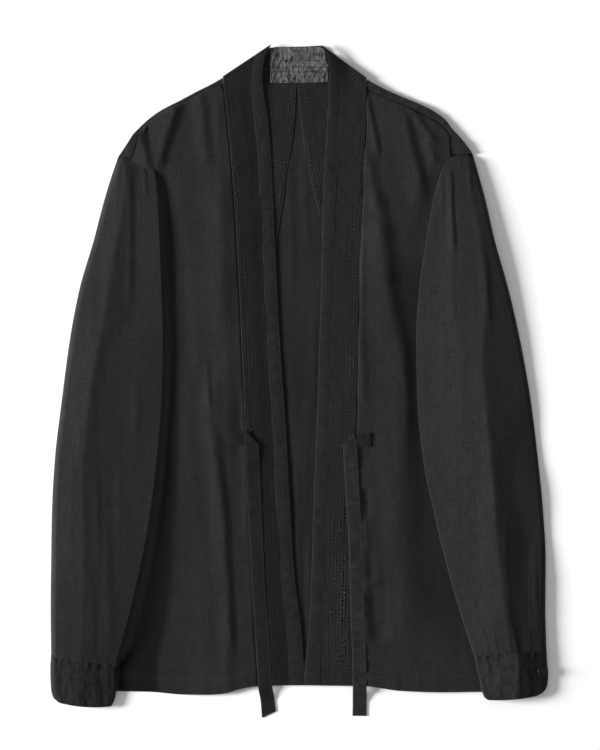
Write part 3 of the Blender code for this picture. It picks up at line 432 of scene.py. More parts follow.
def threadMaterial(name, colour):
    material, tree, shader = newMaterial(name)
    place = tree.nodes.new("ShaderNodeTexCoord")
    ply = noiseAt(tree, place.outputs["Object"], (2600.0, 2600.0, 2600.0), 1.0)
    tinted(tree, shader, colour, weighed(tree, ply, 0.8, 0.6))
    setInputs(shader, {"Roughness": 0.6, "Specular IOR Level": 0.25})
    return material


def buttonMaterial(name):
    material, tree, shader = newMaterial(name)
    place = tree.nodes.new("ShaderNodeTexCoord")
    swirl = noiseAt(tree, place.outputs["Object"], (300.0, 700.0, 500.0), 3.0)
    ramp = tree.nodes.new("ShaderNodeValToRGB")
    ramp.color_ramp.elements[0].color = (0.003, 0.003, 0.003, 1.0)
    ramp.color_ramp.elements[1].color = (0.012, 0.012, 0.012, 1.0)
    tree.links.new(swirl, ramp.inputs["Fac"])
    tree.links.new(ramp.outputs["Color"], shader.inputs["Base Color"])
    tree.links.new(weighed(tree, swirl, 0.2, 0.2), shader.inputs["Roughness"])
    shader.inputs["Specular IOR Level"].default_value = 0.22
    return material


shirtCloth = clothMaterial("washedShirtCloth", looks["shirt"])
quiltCloth = clothMaterial("quiltedBandCloth", looks["quilted"])
tapeCloth = clothMaterial("tieTape", looks["tape"])
patchCloth = clothMaterial("fadedPatch", looks["patch"])
blackThread = threadMaterial("blackThread", (0.024, 0.024, 0.025))
greyThread = threadMaterial("greyThread", (0.044, 0.044, 0.045))
buttonFinish = buttonMaterial("darkButton")
print("materials ready")


# the body: back, saddles and fronts

def sideEdge(side, down):
    return column(pattern["bodySide"], 1 if side < 0 else 2, down)


def hemDown(side, across):
    return column(pattern[sideNames[side] + "Hem"], 1, across)


back = {
    "outline": [  # down, left, right
        (46.6, -78, 66), (49.5, -88, 82), (58.9, -107.8, 97.5), (63.9, -122, 112),
        (77, -147, 137), (90.4, -169.8, 153.7), (100, -180.4, 167), (108, -186.4, 171.6),
        (115, -187.6, 175.2), (124, -193, 177.6), *pattern["bodySide"][3:11],
        (770.5, -255.4, 255.4),
    ],
    "bottom": 771.0,
    "hemLine": 754.0,        # down, where the turned-up hem starts
    "hemCurve": ((-255, -120, 0, 120, 255), (771, 770, 767.4, 769.4, 771.5)),  # across, down
    "rows": 260,
    "dense": (-78.0, 70.0),  # what shows between the bands
    "showing": 1.2,          # how far the cloth between the bands lies above the rest
    "folds": [
        (-22, 250, 6, 560, 2, 16, 10, 0.8), (-12, 120, -8, 330, 1, 9, 6, 0.9),
        (6, 90, 10, 260, 0, 8, 6, 0.9), (14, 380, 6, 600, 0, 9, 7, 0.6),
        (-2, 470, 0, 740, 1, 7, 5, 0.8), (12, 560, 12, 770, 0, 6, 4, 0.7),
        (20, 300, 18, 460, 0, 8, 5, 0.7),
    ],
}


def makeBack():
    rows = np.linspace(0.0, 1.0, back["rows"])
    down = back["outline"][0][0] + (rows ** 1.15) * (back["bottom"] - back["outline"][0][0])
    left, right = column(back["outline"], 1, down), column(back["outline"], 2, down)
    low, high = back["dense"]
    shares = np.concatenate([np.linspace(0, 0.2, 12)[:-1], np.linspace(0.2, 0.8, 68),
                             np.linspace(0.8, 1.0, 12)[1:]])
    across = np.array([
        np.interp(shares, (0, 0.2, 0.8, 1),
                  (l, max(low, l * 0.98), min(high, r * 0.98), r)) for l, r in zip(left, right)
    ])
    downs = np.repeat(down[:, None], across.shape[1], axis=1)
    hem = ease((downs - (back["hemLine"] + 1.0)) / 10.0)
    downs = downs - hem * (back["bottom"] - np.interp(across, *back["hemCurve"]))
    shows = ease((across - low) / 20.0) * ease((high - across) / 20.0)
    relief = foldHeights(back["folds"], across, downs) + creases(across, downs, 0.32, 11)
    turned = 0.5 * ease((downs - back["hemLine"]) / 2.0)
    height = pattern["wall"] + shows * (np.maximum(relief + back["showing"], 0.0) + turned)
    points = gridOf(across, downs, height)
    seamWear = 0.5 * softLine(downs - back["hemLine"], 1.2) + 0.5 * ease((downs - 766.5) / 1.5)
    tone = 0.88 + 0.1 * hills(across / 30.0, downs / 60.0, 12) + shows * seamWear
    # painted shade: the inside of the back is drawn darker from about 280 to 600 mm down
    tone = tone - 0.14 * ease((downs - 280.0) / 80.0) * (1.0 - 0.7 * ease((downs - 600.0) / 60.0))
    top, topTone = withRim(points, tone, pattern["wall"], 0.5)
    underside = points[::5, ::4].copy()
    underside[..., 2] = 0.0
    parts = [(top, topTone, False, False), (underside, 1.0, False, False)]
    piece = makePiece("backPanel", parts, shirtCloth)
    onFrame(piece, "back_panel", "shirt_cloth", (0.511, 0.725), 0.352)
    hemRow = np.interp(back["hemLine"] - 1.0, downs[:, 45], np.arange(back["rows"]))
    runs = [stitchRun(points, hemRow, np.linspace(12, 78, 200), 3, 2.6, 2.0)]
    makeStitches("backHemStitches", runs, 0.4, 0.2)


saddles = {
    "left": [  # fold across, fold down, seam across, seam down
        (-91.4, 39.4, -91.6, 49.4), (-104.4, 47, -104, 52.6), (-119.4, 54.4, -118.2, 58),
        (-143.4, 67.2, -142, 70.4), (-167.4, 79.8, -165.6, 82.6), (-181.8, 90.4, -179.4, 92.8),
        (-190.4, 98.4, -187.4, 101), (-198.8, 107, -192, 111.4), (-206.4, 118.8, -194.8, 122.4),
        (-216.8, 134.4, -198.2, 134.4),
    ],
    "right": [
        (81.4, 41.6, 82, 53.4), (97.2, 50.4, 95.6, 58.8), (121.2, 61.4, 118.4, 68.2),
        (145.2, 71.4, 141.2, 79.6), (160.8, 79.2, 157.4, 87.4), (175.2, 89.6, 173, 97.6),
        (184, 101, 179.6, 105.4), (193.2, 111, 180.4, 114), (201.4, 121, 180.6, 122.4),
        (208.2, 130.8, 181.2, 130.8),
    ],
    "height": 5.2,
    "under": 12.0,      # how far the lower layer runs in under the body
    "stations": 130,
    "crumple": 0.55,
}


def tableAt(rows, shares):
    # all columns of a table, read at shares of its length
    knots = np.linspace(0.0, 1.0, len(rows))
    return [column([(k, *r) for k, r in zip(knots, rows)], c + 1, shares) for c in range(4)]


def makeSaddle(side):
    name = sideNames[side]
    shares = np.linspace(0.0, 1.0, saddles["stations"])
    fold, foldDown, seam, seamDown = (c[:, None] for c in tableAt(saddles[name], shares))
    length = np.hypot(seam - fold, seamDown - foldDown)
    ux, uy = (seam - fold) / length, (seamDown - foldDown) / length
    half = saddles["height"] / 2.0
    bend = np.linspace(-math.pi / 2, math.pi / 2, 11)
    reach = np.concatenate([np.linspace(saddles["under"], 2.6, 5), 1.6 - 1.6 * np.cos(bend)])
    level = np.concatenate([np.zeros(5), half + half * np.sin(bend)])
    along = np.broadcast_to(reach, (len(shares), len(reach)))
    on = np.linspace(0.0, 1.0, 14)[1:]
    over = 1.6 + on * (length - 1.6)
    r = np.concatenate([along, over], axis=1)
    z = np.concatenate([np.broadcast_to(level, along.shape),
                        np.full(over.shape, saddles["height"])], axis=1)
    across, down = fold + ux * r, foldDown + uy * r
    crumple = saddles["crumple"] * hills(across / 7.0, down / 7.0, 20 + side)
    lifted = ease((z - 1.0) / 3.0)
    z = z + lifted * (crumple + 0.5 * hills(across / 22.0, down / 22.0, 23 + side))
    z = z - np.concatenate([np.zeros(along.shape), 0.5 * ease((on - 0.8) / 0.2) *
                            np.ones(over.shape)], axis=1)
    points = gridOf(across, down, np.maximum(z, 0.0))
    wear = softLine(np.arange(points.shape[1]) - 10.0, 3.0)
    tone = 1.0 + 0.3 * wear[None, :] + 0.3 * hills(across / 4.0, down / 4.0, 26)
    piece = makeSheet(name + "Saddle", points, tone, shirtCloth, (1.0, 3.0), "r", -30.0 * side)
    onFrame(piece, name + "_saddle", "shirt_cloth", (0.034, 0.165), 0.0047)
    runs = [stitchRun(points, np.linspace(0, 105, 120), 26.2, 5)]
    makeStitches(name + "SaddleStitches", runs, 0.4, 0.2)


fronts = {
    "left": {
        "folds": [
            (-137, 50, -181, 206, -4, 22, 9, 4.8), (-197, 84, -167, 212, 2, 20, 8, 4.4),
            (-157, 70, -146, 86, 0, 5, 4, 1), (-122, 44, -107, 156, 1, 13, 9, 2.3),
            (-97, 60, -95, 120, 0, 10, 6, 0.9), (-95, 134, -90, 376, 1, 24, 17, 3.8),
            (-103, 440, -80, 762, 3, 16, 8, 3.7), (-110, 400, -101, 500, 0, 12, 15, 3.0),
            (-111, 376, -108, 438, 0, 6, 5, 1.2), (-87, 340, -86, 500, 0, 18, 14, 2.4),
            (-70, 385, -68, 610, 0, 24, 8, -2.2), (-89, 700, -86, 840, 0, 10, 12, 1.3),
            (-121, 546, -113, 666, 1, 18, 10, 0.6), (-120, 300, -118, 460, -2, 16, 12, 0.5),
            (-136, 430, -128, 560, 2, 14, 9, 0.9), (-104, 470, -98, 560, 1, 7, 4, 0.7),
        ],
        "low": (  # down, width of the low strip beside the sleeve, of the rise beyond it
            (100, 3, 22), (160, 5, 20), (234, 5, 22), (300, 7, 30), (378, 10, 34), (450, 12, 34),
            (522, 18, 46), (594, 25, 56), (666, 31, 60), (714, 36, 60), (780, 42, 60),
        ),
        "shade": (  # down, width of the strip of painted shade, fade beyond it, painted shade, cast shadow's width
            (160, 4, 6, 0, 5), (300, 7, 8, 0.1, 6), (378, 11, 7, 0.35, 8.5), (450, 15, 6, 0.6, 11),
            (498, 18, 8, 0.7, 12), (522, 19, 9, 0.74, 13), (570, 23, 10, 0.76, 15),
            (618, 29, 13, 0.8, 18), (666, 34, 15, 0.84, 21), (714, 41, 12, 0.88, 24),
            (732, 42, 12, 0.9, 14), (744, 42, 12, 0.9, 1), (780, 42, 12, 0.9, 1),
        ),
        # tone: painted light and shade by distance down
        "tone": ((60, 1.02), (420, 1.0), (560, 0.98), (700, 0.94)), "seed": 50,
        "paintedShadowLift": ((156, 0.0), (178, 0.6), (240, 0.9), (400, 1.1), (714, 1.0), (748, 0.1)),
    },
    "right": {
        "folds": [
            (78, 48, 98, 144, 1, 9, 5, 2.4), (122, 62, 163, 216, -3, 22, 9, 4.0),
            (126, 62, 172, 126, -3, 8, 7, 2.4), (150, 108, 164, 146, 0, 8, 9, 2),
            (80, 118, 94, 204, 0, 12, 12, 2.8), (93, 166, 106, 306, -1, 30, 13, 4),
            (104, 200, 114, 300, 0, 44, 13, 3), (103, 270, 131, 430, -1, 28, 15, 4.7),
            (124, 396, 118, 610, 1, 30, 30, 3.3), (113, 540, 134, 735, 0, 24, 44, 2.6),
            (74, 316, 78, 440, 0, 9, 8, 1.6), (61, 420, 64, 510, -1, 8, 5, 1.2),
            (70, 450, 81, 900, 0, 24, 26, 1.0), (79, 526, 80, 574, 0, 7, 8, -2.0),
            (82, 604, 88, 642, 0, 8, 9, -1.4), (86, 648, 97, 724, 0, 11, 20, -3.0),
            (78, 540, 80, 742, 1, 12, 8, 1.3), (95, 618, 92, 714, 2, 14, 8, 1.0),
            (76, 226, 76, 330, 0, 9, 5, 0.9), (102, 440, 108, 560, 0, 14, 10, 0.6),
        ],
        "low": (
            (100, 2, 17), (234, 3, 20), (270, 3, 34), (306, 3, 26), (342, 2, 14), (378, 2, 10),
            (426, 2, 10), (474, 2, 16), (522, 3, 24), (570, 4, 36), (618, 6, 50), (780, 6, 50),
        ),
        "shade": (
            (186, 3, 6, 0, 0), (234, 24, 12, 0.0, 0), (262, 34, 12, 0.2, 0),
            (284, 32, 10, 0.4, 0), (306, 25, 10, 0.4, 0), (342, 16, 8, 0.22, 0),
            (378, 10, 8, 0.1, 0), (426, 10, 8, 0.14, 0), (474, 6, 14, 0.3, 0),
            (522, 6, 18, 0.38, 0), (546, 11, 20, 0.38, 0), (570, 20, 18, 0.34, 0),
            (618, 34, 18, 0.3, 0), (666, 34, 18, 0.32, 0), (714, 24, 16, 0.1, 0),
            (780, 10, 16, 0, 0),
        ),
        # tone: painted light and shade by distance down
        "tone": ((60, 1.12), (230, 1.13), (290, 1.05), (520, 1.05), (620, 1.0)), "seed": 60,
        "paintedShadowLift": ((100, 0.0), (780, 0.0)),
    },
    "lift": 2.7, "leastLift": 0.4,
    "rows": 340, "columns": 98,
    "rowSpread": ((0.0, 0.1, 0.86, 1.0), (0.0, 0.06, 0.965, 1.0)),  # closer at shoulder and hem
    "hemDepth": 17.0, "hemStep": 0.6,
    "bandDip": 2.6, "shoulderDip": 2.2,  # how far the edges sink at their seams
    "coveredFrom": 138.0, "coveredOver": 26.0,  # down, where the sleeve comes to lie on the front
    "crumple": 0.34,
}


def alongPath(points, shares):
    # points at shares of the length of a smooth path
    path = np.array(points, float)
    knots = np.concatenate([[0], np.cumsum(np.linalg.norm(np.diff(path, axis=0), axis=1))])
    at = np.asarray(shares) * knots[-1]
    return np.stack([curve(knots, path[:, 0], at), curve(knots, path[:, 1], at)], axis=-1)


def blendPatch(left, right, top, bottom, u, v):
    onLeft, onRight = alongPath(left, v)[:, None], alongPath(right, v)[:, None]
    onTop, onBottom = alongPath(top, u)[None], alongPath(bottom, u)[None]
    u, v = u[None, :, None], v[:, None, None]
    ruled = (1 - u) * onLeft + u * onRight + (1 - v) * onTop + v * onBottom
    c = [np.array(p, float) for p in (top[0], top[-1], bottom[0], bottom[-1])]
    corner = (1 - u) * (1 - v) * c[0] + u * (1 - v) * c[1] + (1 - u) * v * c[2] + u * v * c[3]
    return ruled - corner


def besideSleeve(side, across, down):
    # how far a point lies from the sleeve's inner edge, towards the middle of the body
    return (column(sleeves[sideNames[side]]["rows"], 2, down) - across) * side


def frontHeight(side, across, down):
    own = fronts[sideNames[side]]
    inboard = besideSleeve(side, across, down)
    covered = ease((down - fronts["coveredFrom"]) / fronts["coveredOver"])
    climb = slope((inboard - column(own["low"], 1, down)) / column(own["low"], 2, down), 0.12)
    rise = 1.0 - covered * (1.0 - climb)
    folds = foldHeights(own["folds"], across, down)
    folds = folds + creases(across, down, fronts["crumple"], own["seed"])
    fromHem = hemDown(side, across) - down
    hem = fronts["hemStep"] * ease((fronts["hemDepth"] - fromHem) / 1.6 + 0.5)
    stitchPull = -0.35 * softLine(fromHem - fronts["hemDepth"], 1.1)
    waves = ease((28.0 - fromHem) / 20.0) * 0.3 * hills(across / 9.0, fromHem / 30.0, own["seed"])
    nearShoulder = 1.0 - ease((down - 60.0) / 60.0)
    lift = np.maximum(fronts["lift"] + folds, fronts["leastLift"])
    lift = lift + hem + stitchPull + waves - 0.6 * nearShoulder
    return pattern["underSleeve"] + lift * rise, fromHem


def makeFront(side):
    name = sideNames[side]
    own = fronts[name]
    saddle, hem = saddles[name], pattern[name + "Hem"]
    band = bands[name]["rows"]
    shoulder = [(r[2], r[3] - 3.0) for r in saddle[:7]][::-1]
    armhole = [(r[2] - side * 0.35, r[3]) for r in saddle[7:]]
    sewn = [(r[1 if side < 0 else 2], r[0]) for r in pattern["bodySide"]
            if saddle[-1][3] + 10.0 < r[0] < 775.0]
    sidePath = [shoulder[0]] + armhole + sewn + [hem[0]]
    hemPath = list(hem[:-1]) + [(hem[-1][0] - side * 3.0, hem[-1][1])]
    bandPath = [shoulder[-1]] + [(r[0] - side * 3.0, r[1]) for r in band[1:-1]] + [hemPath[-1]]
    v = np.interp(np.linspace(0.0, 1.0, fronts["rows"]), *fronts["rowSpread"])
    u = np.linspace(0.0, 1.0, fronts["columns"])
    flat = blendPatch(sidePath, bandPath, shoulder, hemPath, u, v)
    across, down = flat[..., 0], flat[..., 1]
    height, fromHem = frontHeight(side, across, down)
    fromBand = np.hypot(across - across[:, -1:], down - down[:, -1:])
    fromShoulder = np.hypot(across - across[:1], down - down[:1])
    height = height - fronts["bandDip"] * (1.0 - ease((fromBand - 1.5) / 4.0))
    height = height - fronts["shoulderDip"] * (1.0 - ease((fromShoulder - 1.5) / 4.0))
    points = gridOf(across, down, height)
    tone = 1.0 + 0.14 * hills(across / 24.0, down / 130.0, own["seed"] + 5)
    tone = tone + 0.10 * hills(across / 5.0, down / 70.0, own["seed"] + 6)
    # painted shade: the cloth is drawn darker in a strip beside the sleeve, standing in for the
    # sleeve's shadow, and leaves out what the sleeve's cast shadow covers
    beyond = besideSleeve(side, across, down)
    width, spread, shade, cast = (column(own["shade"], k, down) for k in (1, 2, 3, 4))
    fade = 1.0 - ease((beyond - width) / spread)
    fade = 0.85 * fade + 0.15 * (1.0 - ease((beyond - width) / 56.0))
    fade = fade * ease((beyond + 1.0 - 0.35 * cast) / (0.65 * cast + 1.0))
    # painted light and shade by distance down: the upper right front is drawn lighter, the lower left
    # front darker
    tone = tone * column(own["tone"], 1, down)
    tone = tone * (1.0 - shade * fade)
    # painted light: the cloth inside the sleeve's cast shadow is drawn lighter, so that the shadow is
    # less deep
    tone = tone * (1.0 + column(own["paintedShadowLift"], 1, down) * (1.0 - ease(beyond / (cast + 4.0))))
    tone = tone + 0.35 * ease((1.2 - fromHem) / 1.2) * (0.7 + 0.5 * hills(across / 6, down, 7))
    hemLine = softLine(fromHem - fronts["hemDepth"] - 1.0, 1.6)
    tone = tone + 0.22 * hemLine * (0.5 + hills(across / 3.0, down / 40.0, own["seed"] + 9))
    piece = makeSheet(name + "Front", points, tone, shirtCloth, (pattern["wall"], 8.0))
    onFrame(piece, name + "_front", "shirt_cloth", (0.208, 0.745), 0.131, ["backPanel"])
    last = fronts["rows"] - 1
    rowAt = np.array([np.interp(-fronts["hemDepth"] + 1.6, -fromHem[-60:, c],
                                np.arange(last - 59, last + 1)) for c in range(len(u))])
    visible = np.linspace(0, len(u) - 4, 400)
    rowsOn = np.interp(visible, np.arange(len(u)), rowAt)
    runs = [stitchRun(points, rowsOn, visible, own["seed"], 2.6, 2.1)]
    makeStitches(name + "HemStitches", runs)


# sleeves and cuffs

leftSleeve = {
    "rows": [  # down, outer, inner, tilt, sag
        (134.8, -217, -180.2, 0, 0), (156, -224.4, -170, 0, 0), (186, -233.6, -166.4, 0, 0),
        (234, -246.2, -163.8, 0, 0), (294, -263.6, -161.4, 0, 0), (354, -275, -159.6, 0, 0),
        (426, -284.6, -161.4, 0, 0), (498, -293, -167.4, 0, 0), (558, -296.4, -174.6, 0, 0),
        (618, -297.4, -185.4, 1, 0.4), (678, -298, -199.8, 4, 1.6), (732, -297.4, -216.4, 10, 3.2),
    ],
    "planes": [  # down, slope, crease across, slope, crease across, slope, crown
        (134.8, 4, -209, -8, -197, 0, 8.6), (162, 7, -207, -13, -195, 3, 11),
        (234, 6.5, -218, -8.5, -196, 6, 14), (306, 6.5, -230, -8.5, -196, 3, 16),
        (378, 7, -242, -11, -230, -2, 17), (450, 7, -253, -11, -238, -3, 17.8),
        (522, 5, -258, -7, -229, -2.5, 18), (594, 4.5, -257, -6, -217, -2.5, 18),
        (666, 2, -258, -6.5, -224, -2.5, 17.9), (714, 2, -260, -7, -239, -3, 17.4),
        (734, 2, -263, -8, -241, -5, 16),
    ],
    "folds": [
        (-203, 134, -203, 326, 2, 6, 7, 1.3), (-187, 132, -182, 190, 0, 5, 4, 1.2),
        (-216, 134, -221, 210, 0, 6, 4, 0.8), (-195, 396, -193, 476, 0, 9, 6, 0.9),
        (-243, 500, -239, 640, 0, 9, 6, 0.7), (-232, 560, -230, 720, 2, 10, 7, 0.9),
        (-270, 470, -276, 640, 1, 10, 6, 0.5), (-247, 640, -246, 745, 0, 8, 6, 0.7),
        (-222, 640, -232, 745, 2, 12, 8, 0.9), (-276, 680, -278, 745, 0, 9, 6, 0.4),
        (-212, 500, -216, 600, 0, 9, 6, 0.5), (-262, 380, -270, 470, 0, 8, 6, 0.5),
    ],
    "tones": (  # down, painted light on the lit side of the crown, painted shade on the shaded side
        (134, 1.13, 0.88), (450, 1.13, 0.88), (594, 1.1, 0.84), (666, 0.97, 0.77),
        (714, 0.95, 0.7), (734, 0.95, 0.7),
    ),
    "round": (8.0, 3.6), "innerTone": 1.4,
    "grain": 6.0, "seed": 70, "crumple": 0.34, "flat": (0.27, 0.605), "area": 0.122,
}

rightSleeve = {
    "rows": [
        (131.2, 208.4, 181.2, 0, 0), (156, 215.6, 168.8, 0, 0), (186, 223.8, 160.8, 0, 0),
        (234, 234.8, 152.4, 0, 0), (294, 251.6, 144, 0, 0), (354, 265.2, 140.4, 0, 0),
        (426, 278, 141.8, 0, 0), (498, 286.8, 148.8, 0, 0), (558, 292.8, 160.8, 0, 0),
        (618, 296, 175.2, 0, 0), (678, 295.6, 192.6, 2, 0), (728, 297, 210, 6, -1),
    ],
    "planes": [
        (131.2, 3, 200, -6, 206, -8, 8.4), (162, 4, 205, -8, 216, -9, 10.4),
        (234, 4.5, 217, -8, 232, -10, 12.6), (306, 5, 224, -10, 250, -12, 14),
        (378, 7.5, 220, -11, 262, -13, 16.8), (450, 7.5, 225, -13, 272, -13, 17.8),
        (522, 7.5, 232, -17, 256, -8, 18), (594, 7.5, 237, -18, 270, -3, 18),
        (666, 7.5, 245, -15, 264, -9, 17.8), (714, 6, 251, -13, 262, -12, 17.2),
        (730, 6, 256, -12, 264, -12, 16.8),
    ],
    "folds": [
        (170, 134, 173, 200, 0, 6, 5, 1.5), (180, 134, 187, 262, 0, 8, 4, 2.2),
        (180, 208, 184, 345, 1, 9, 6, 0.8), (200, 132, 206, 180, 0, 5, 4, 0.8),
        (160, 196, 163, 240, 0, 6, 5, 0.8), (220, 236, 229, 350, 0, 8, 5, 1.4),
        (246, 560, 253, 730, 0, 7, 5, 1), (216, 690, 230, 742, 0, 5, 3, 0.7),
        (255, 690, 262, 742, 0, 5, 4, 1.1), (272, 690, 276, 742, 0, 5, 4, 0.9),
        (232, 700, 240, 742, 0, 5, 3, 0.7), (281, 600, 286, 700, 0, 6, 4, 0.9),
    ],
    "tones": ((131, 1.1, 0.94), (234, 1.15, 0.94), (330, 1.24, 0.94), (732, 1.24, 0.94)),
    "round": (6.0, 2.2), "innerTone": 0.6,
    "grain": -5.0, "seed": 80, "crumple": 0.34, "flat": (0.29, 0.605), "area": 0.13,
}

leftCuff = {
    "rows": [
        (731.2, -297.6, -218.6, 10, 3.2), (752, -298.4, -218.2, 7.2, 3),
        (772, -297.6, -219.4, 4.8, 2.6), (782, -295.2, -221.6, 4.6, 2.6),
        (787.4, -290, -225, 5.6, 3),
    ],
    "planes": [
        (731, 3, -263, -9, -244, -7, 15.6), (760, 3, -262, -10, -244, -8, 15.6),
        (788, 2, -262, -9, -244, -8, 14.4),
    ],
    "folds": [
        (-245, 728, -241, 800, 0, 9, 7, 1.0), (-274, 728, -272, 800, 0, 6, 5, 0.5),
        (-257, 728, -256, 760, 0, 5, 4, 0.4), (-230, 728, -228, 800, 0, 5, 4, 0.7),
        (-286, 728, -287, 790, 0, 4, 4, 0.7), (-292, 728, -291, 790, 0, 3, 3, 0.5),
    ],
    "tones": ((700, 0.8, 0.64), (800, 0.8, 0.64)), "round": (7.0, 4.0), "innerTone": 1.0,
    "grain": 0.0, "seed": 90, "crumple": 0.3, "flat": (0.165, 0.06),
}

rightCuff = {
    "rows": [
        (727.4, 297.2, 210.2, 6, -1), (740, 297.6, 212.6, 6.8, -0.6), (755, 299, 216, 6.6, 0),
        (768, 298, 219, 6.2, 0.6), (776, 293.6, 222, 6, 1.2), (780, 287, 225.4, 5, 1.8),
    ],
    "planes": [
        (727, 5, 262, -15, 282, -12, 17), (760, 5, 263, -15, 282, -12, 17),
        (780, 4, 262, -14, 280, -12, 15.6),
    ],
    "folds": [
        (240, 735, 241, 800, 0, 6, 5, 0.6), (226, 730, 229, 775, 0, 5, 3, 0.6),
        (272, 735, 276, 790, 0, 4, 4, 0.6), (252, 726, 254, 770, 0, 4, 3, 0.5),
    ],
    "tones": ((700, 1.1, 0.52), (800, 1.1, 0.52)), "round": (6.0, 2.4), "innerTone": 0.7,
    "grain": 0.0, "seed": 95, "crumple": 0.3, "flat": (0.17, 0.056),
}

sleeves = {
    "left": leftSleeve, "right": rightSleeve, "stations": 300, "topCount": 120, "underCount": 20,
    "headSink": 5.4, "cuffSink": 1.6,   # how far the ends dip into their seams
}
cuffs = {
    "left": leftCuff, "right": rightCuff, "stations": 60, "topCount": 110, "underCount": 20,
    "wall": 1.6,
}


def under(side, across, down):
    # underside of a sleeve: on the body where it covers it, on the floor beyond it
    outboard = (across - sideEdge(side, down)) * side
    overBody = 1.0 - ease((outboard - 3.5) / 4.5)
    beyondHem = (down - hemDown(side, across) - 1.0) / 17.0
    return (pattern["underSleeve"] + pattern["gap"]) * overBody * (1.0 - ease(beyondHem))


def softRamp(t, soft=1.1):
    return soft * np.logaddexp(0.0, t / soft)


def sleeveTop(side, own, downs, shares):
    # flat planes that meet in creases, with a rounded edge at each side
    outer, inner, tilt, sag = (column(own["rows"], k, downs)[:, None] for k in (1, 2, 3, 4))
    across = outer + shares * (inner - outer)
    down = downs[:, None] + shares * tilt + sag * 4.0 * shares * (1.0 - shares)
    cells = [column(own["planes"], k, down.ravel()).reshape(down.shape) for k in range(1, 7)]
    first, second, third = (np.tan(np.radians(cells[k])) for k in (0, 2, 4))
    wander = 0.9 * hills(down / 23.0, 0.0, own["seed"] + 8)
    fromCrown = across - cells[1] - wander
    fromCrease = across - cells[3] - wander
    height = cells[5] + first * fromCrown + (second - first) * softRamp(fromCrown)
    height = height + (third - second) * softRamp(fromCrease, 2.0)
    relief = foldHeights(own["folds"], across, down)
    relief = relief + creases(across, down, own["crumple"], own["seed"], 9.0)
    floor = under(side, across, down)
    width = np.abs(inner - outer)
    calm = np.sqrt(np.sin(np.pi * np.clip(shares, 0.0, 1.0)))
    height = np.maximum(height + relief * calm, floor + 2.6)
    for share, radius in ((shares, own["round"][0]), (1.0 - shares, own["round"][1])):
        inside = np.clip(share * width / radius, 0.0, 1.0)
        rounding = np.sqrt(np.clip(1.0 - (1.0 - inside) ** 2, 0.0, 1.0))
        height = floor + 0.6 + (height - floor - 0.6) * rounding
    # painted light and shade: the side of the crown towards the lamp is drawn lighter, the side beyond
    # it darker
    lit, shade = column(own["tones"], 1, downs)[:, None], column(own["tones"], 2, downs)[:, None]
    tone = lit + (shade - lit) * ease(fromCrown / 5.0 + 0.5)
    # painted light and shade along the inner edge: innerTone above 1 draws an edge in shadow lighter,
    # below 1 draws an edge that faces the lamp darker
    tone = tone * (1.0 - (1.0 - own["innerTone"]) * softLine((1.0 - shares) * width, 2.2))
    return across, down, height, floor, tone


def sleeveRings(side, own, downs, kind):
    # closed sections: over the top from the outer to the inner edge, back along the underside
    topCount, underCount = kind["topCount"], kind["underCount"]
    ramp = 0.5 - 0.5 * np.cos(np.linspace(0.0, math.pi, topCount))
    shares = 0.55 * ramp + 0.45 * np.linspace(0.0, 1.0, topCount)
    returning = np.linspace(0.99, 0.01, underCount)
    across, down, height, _, tone = sleeveTop(side, own, downs, shares[None, :])
    top = gridOf(across, down, height)
    a, d, _, floor, _ = sleeveTop(side, own, downs, returning[None, :])
    bottom = gridOf(a, d, floor)
    tone = np.concatenate([tone, np.full(a.shape, 0.9)], axis=1)
    return np.concatenate([top, bottom], axis=1), tone


def makeSleeve(side):
    name = sideNames[side]
    own = sleeves[name]
    first, last = own["rows"][0][0], own["rows"][-1][0]
    downs = np.linspace(first - 5.0, last + 3.0, sleeves["stations"])
    ring, paintedLightAndShade = sleeveRings(side, own, downs, sleeves)
    fromHead = ring[..., 1] - first
    fromCuff = last - downs[:, None]
    sink = sleeves["headSink"] * (1.0 - ease((fromHead + 2.0) / 11.0))
    sink = sink + sleeves["cuffSink"] * (1.0 - ease(fromCuff / 5.0 + 0.3))
    floor = under(side, ring[..., 0], ring[..., 1]) * ease((fromHead + 9.0) / 9.0)
    ring[..., 0] -= side * 0.7 * np.maximum(-fromHead, 0.0) * (np.abs(ring[..., 0]) > 200.0)
    gathers = ease((26.0 - fromCuff) / 26.0) * 0.28 * hills(ring[..., 0] / 4.2, fromCuff / 20.0, 31)
    headGather = ease((34.0 - fromHead) / 30.0) * 0.4 * hills(ring[..., 0] / 4.6, fromHead / 26.0, 33)
    topside = ease((ring[..., 2] - floor - 2.0) / 2.0)
    ring[..., 2] = np.maximum(ring[..., 2] + topside * (gathers + headGather - sink), floor)
    tone = 1.0 + 0.14 * hills(ring[..., 0] / 20.0, ring[..., 1] / 140.0, own["seed"] + 3)
    tone = tone + 0.10 * hills(ring[..., 0] / 4.5, ring[..., 1] / 80.0, own["seed"] + 4)
    edges = np.zeros(ring.shape[1])
    edges[:6] = np.linspace(1.0, 0.0, 6)
    tone = (tone + 0.2 * edges[None, :]) * paintedLightAndShade
    # one piece of cloth: it starts and ends at the seam along the inner edge
    ring, tone = (np.roll(a, sleeves["underCount"], axis=1) for a in (ring, tone))
    ring, tone = (np.concatenate([a, a[:, :1]], axis=1) for a in (ring, tone))
    piece = makePiece(name + "Sleeve", [(ring, tone, False, False)], shirtCloth, own["grain"])
    onFrame(piece, name + "_sleeve", "shirt_cloth", own["flat"], own["area"], [name + "Front"])


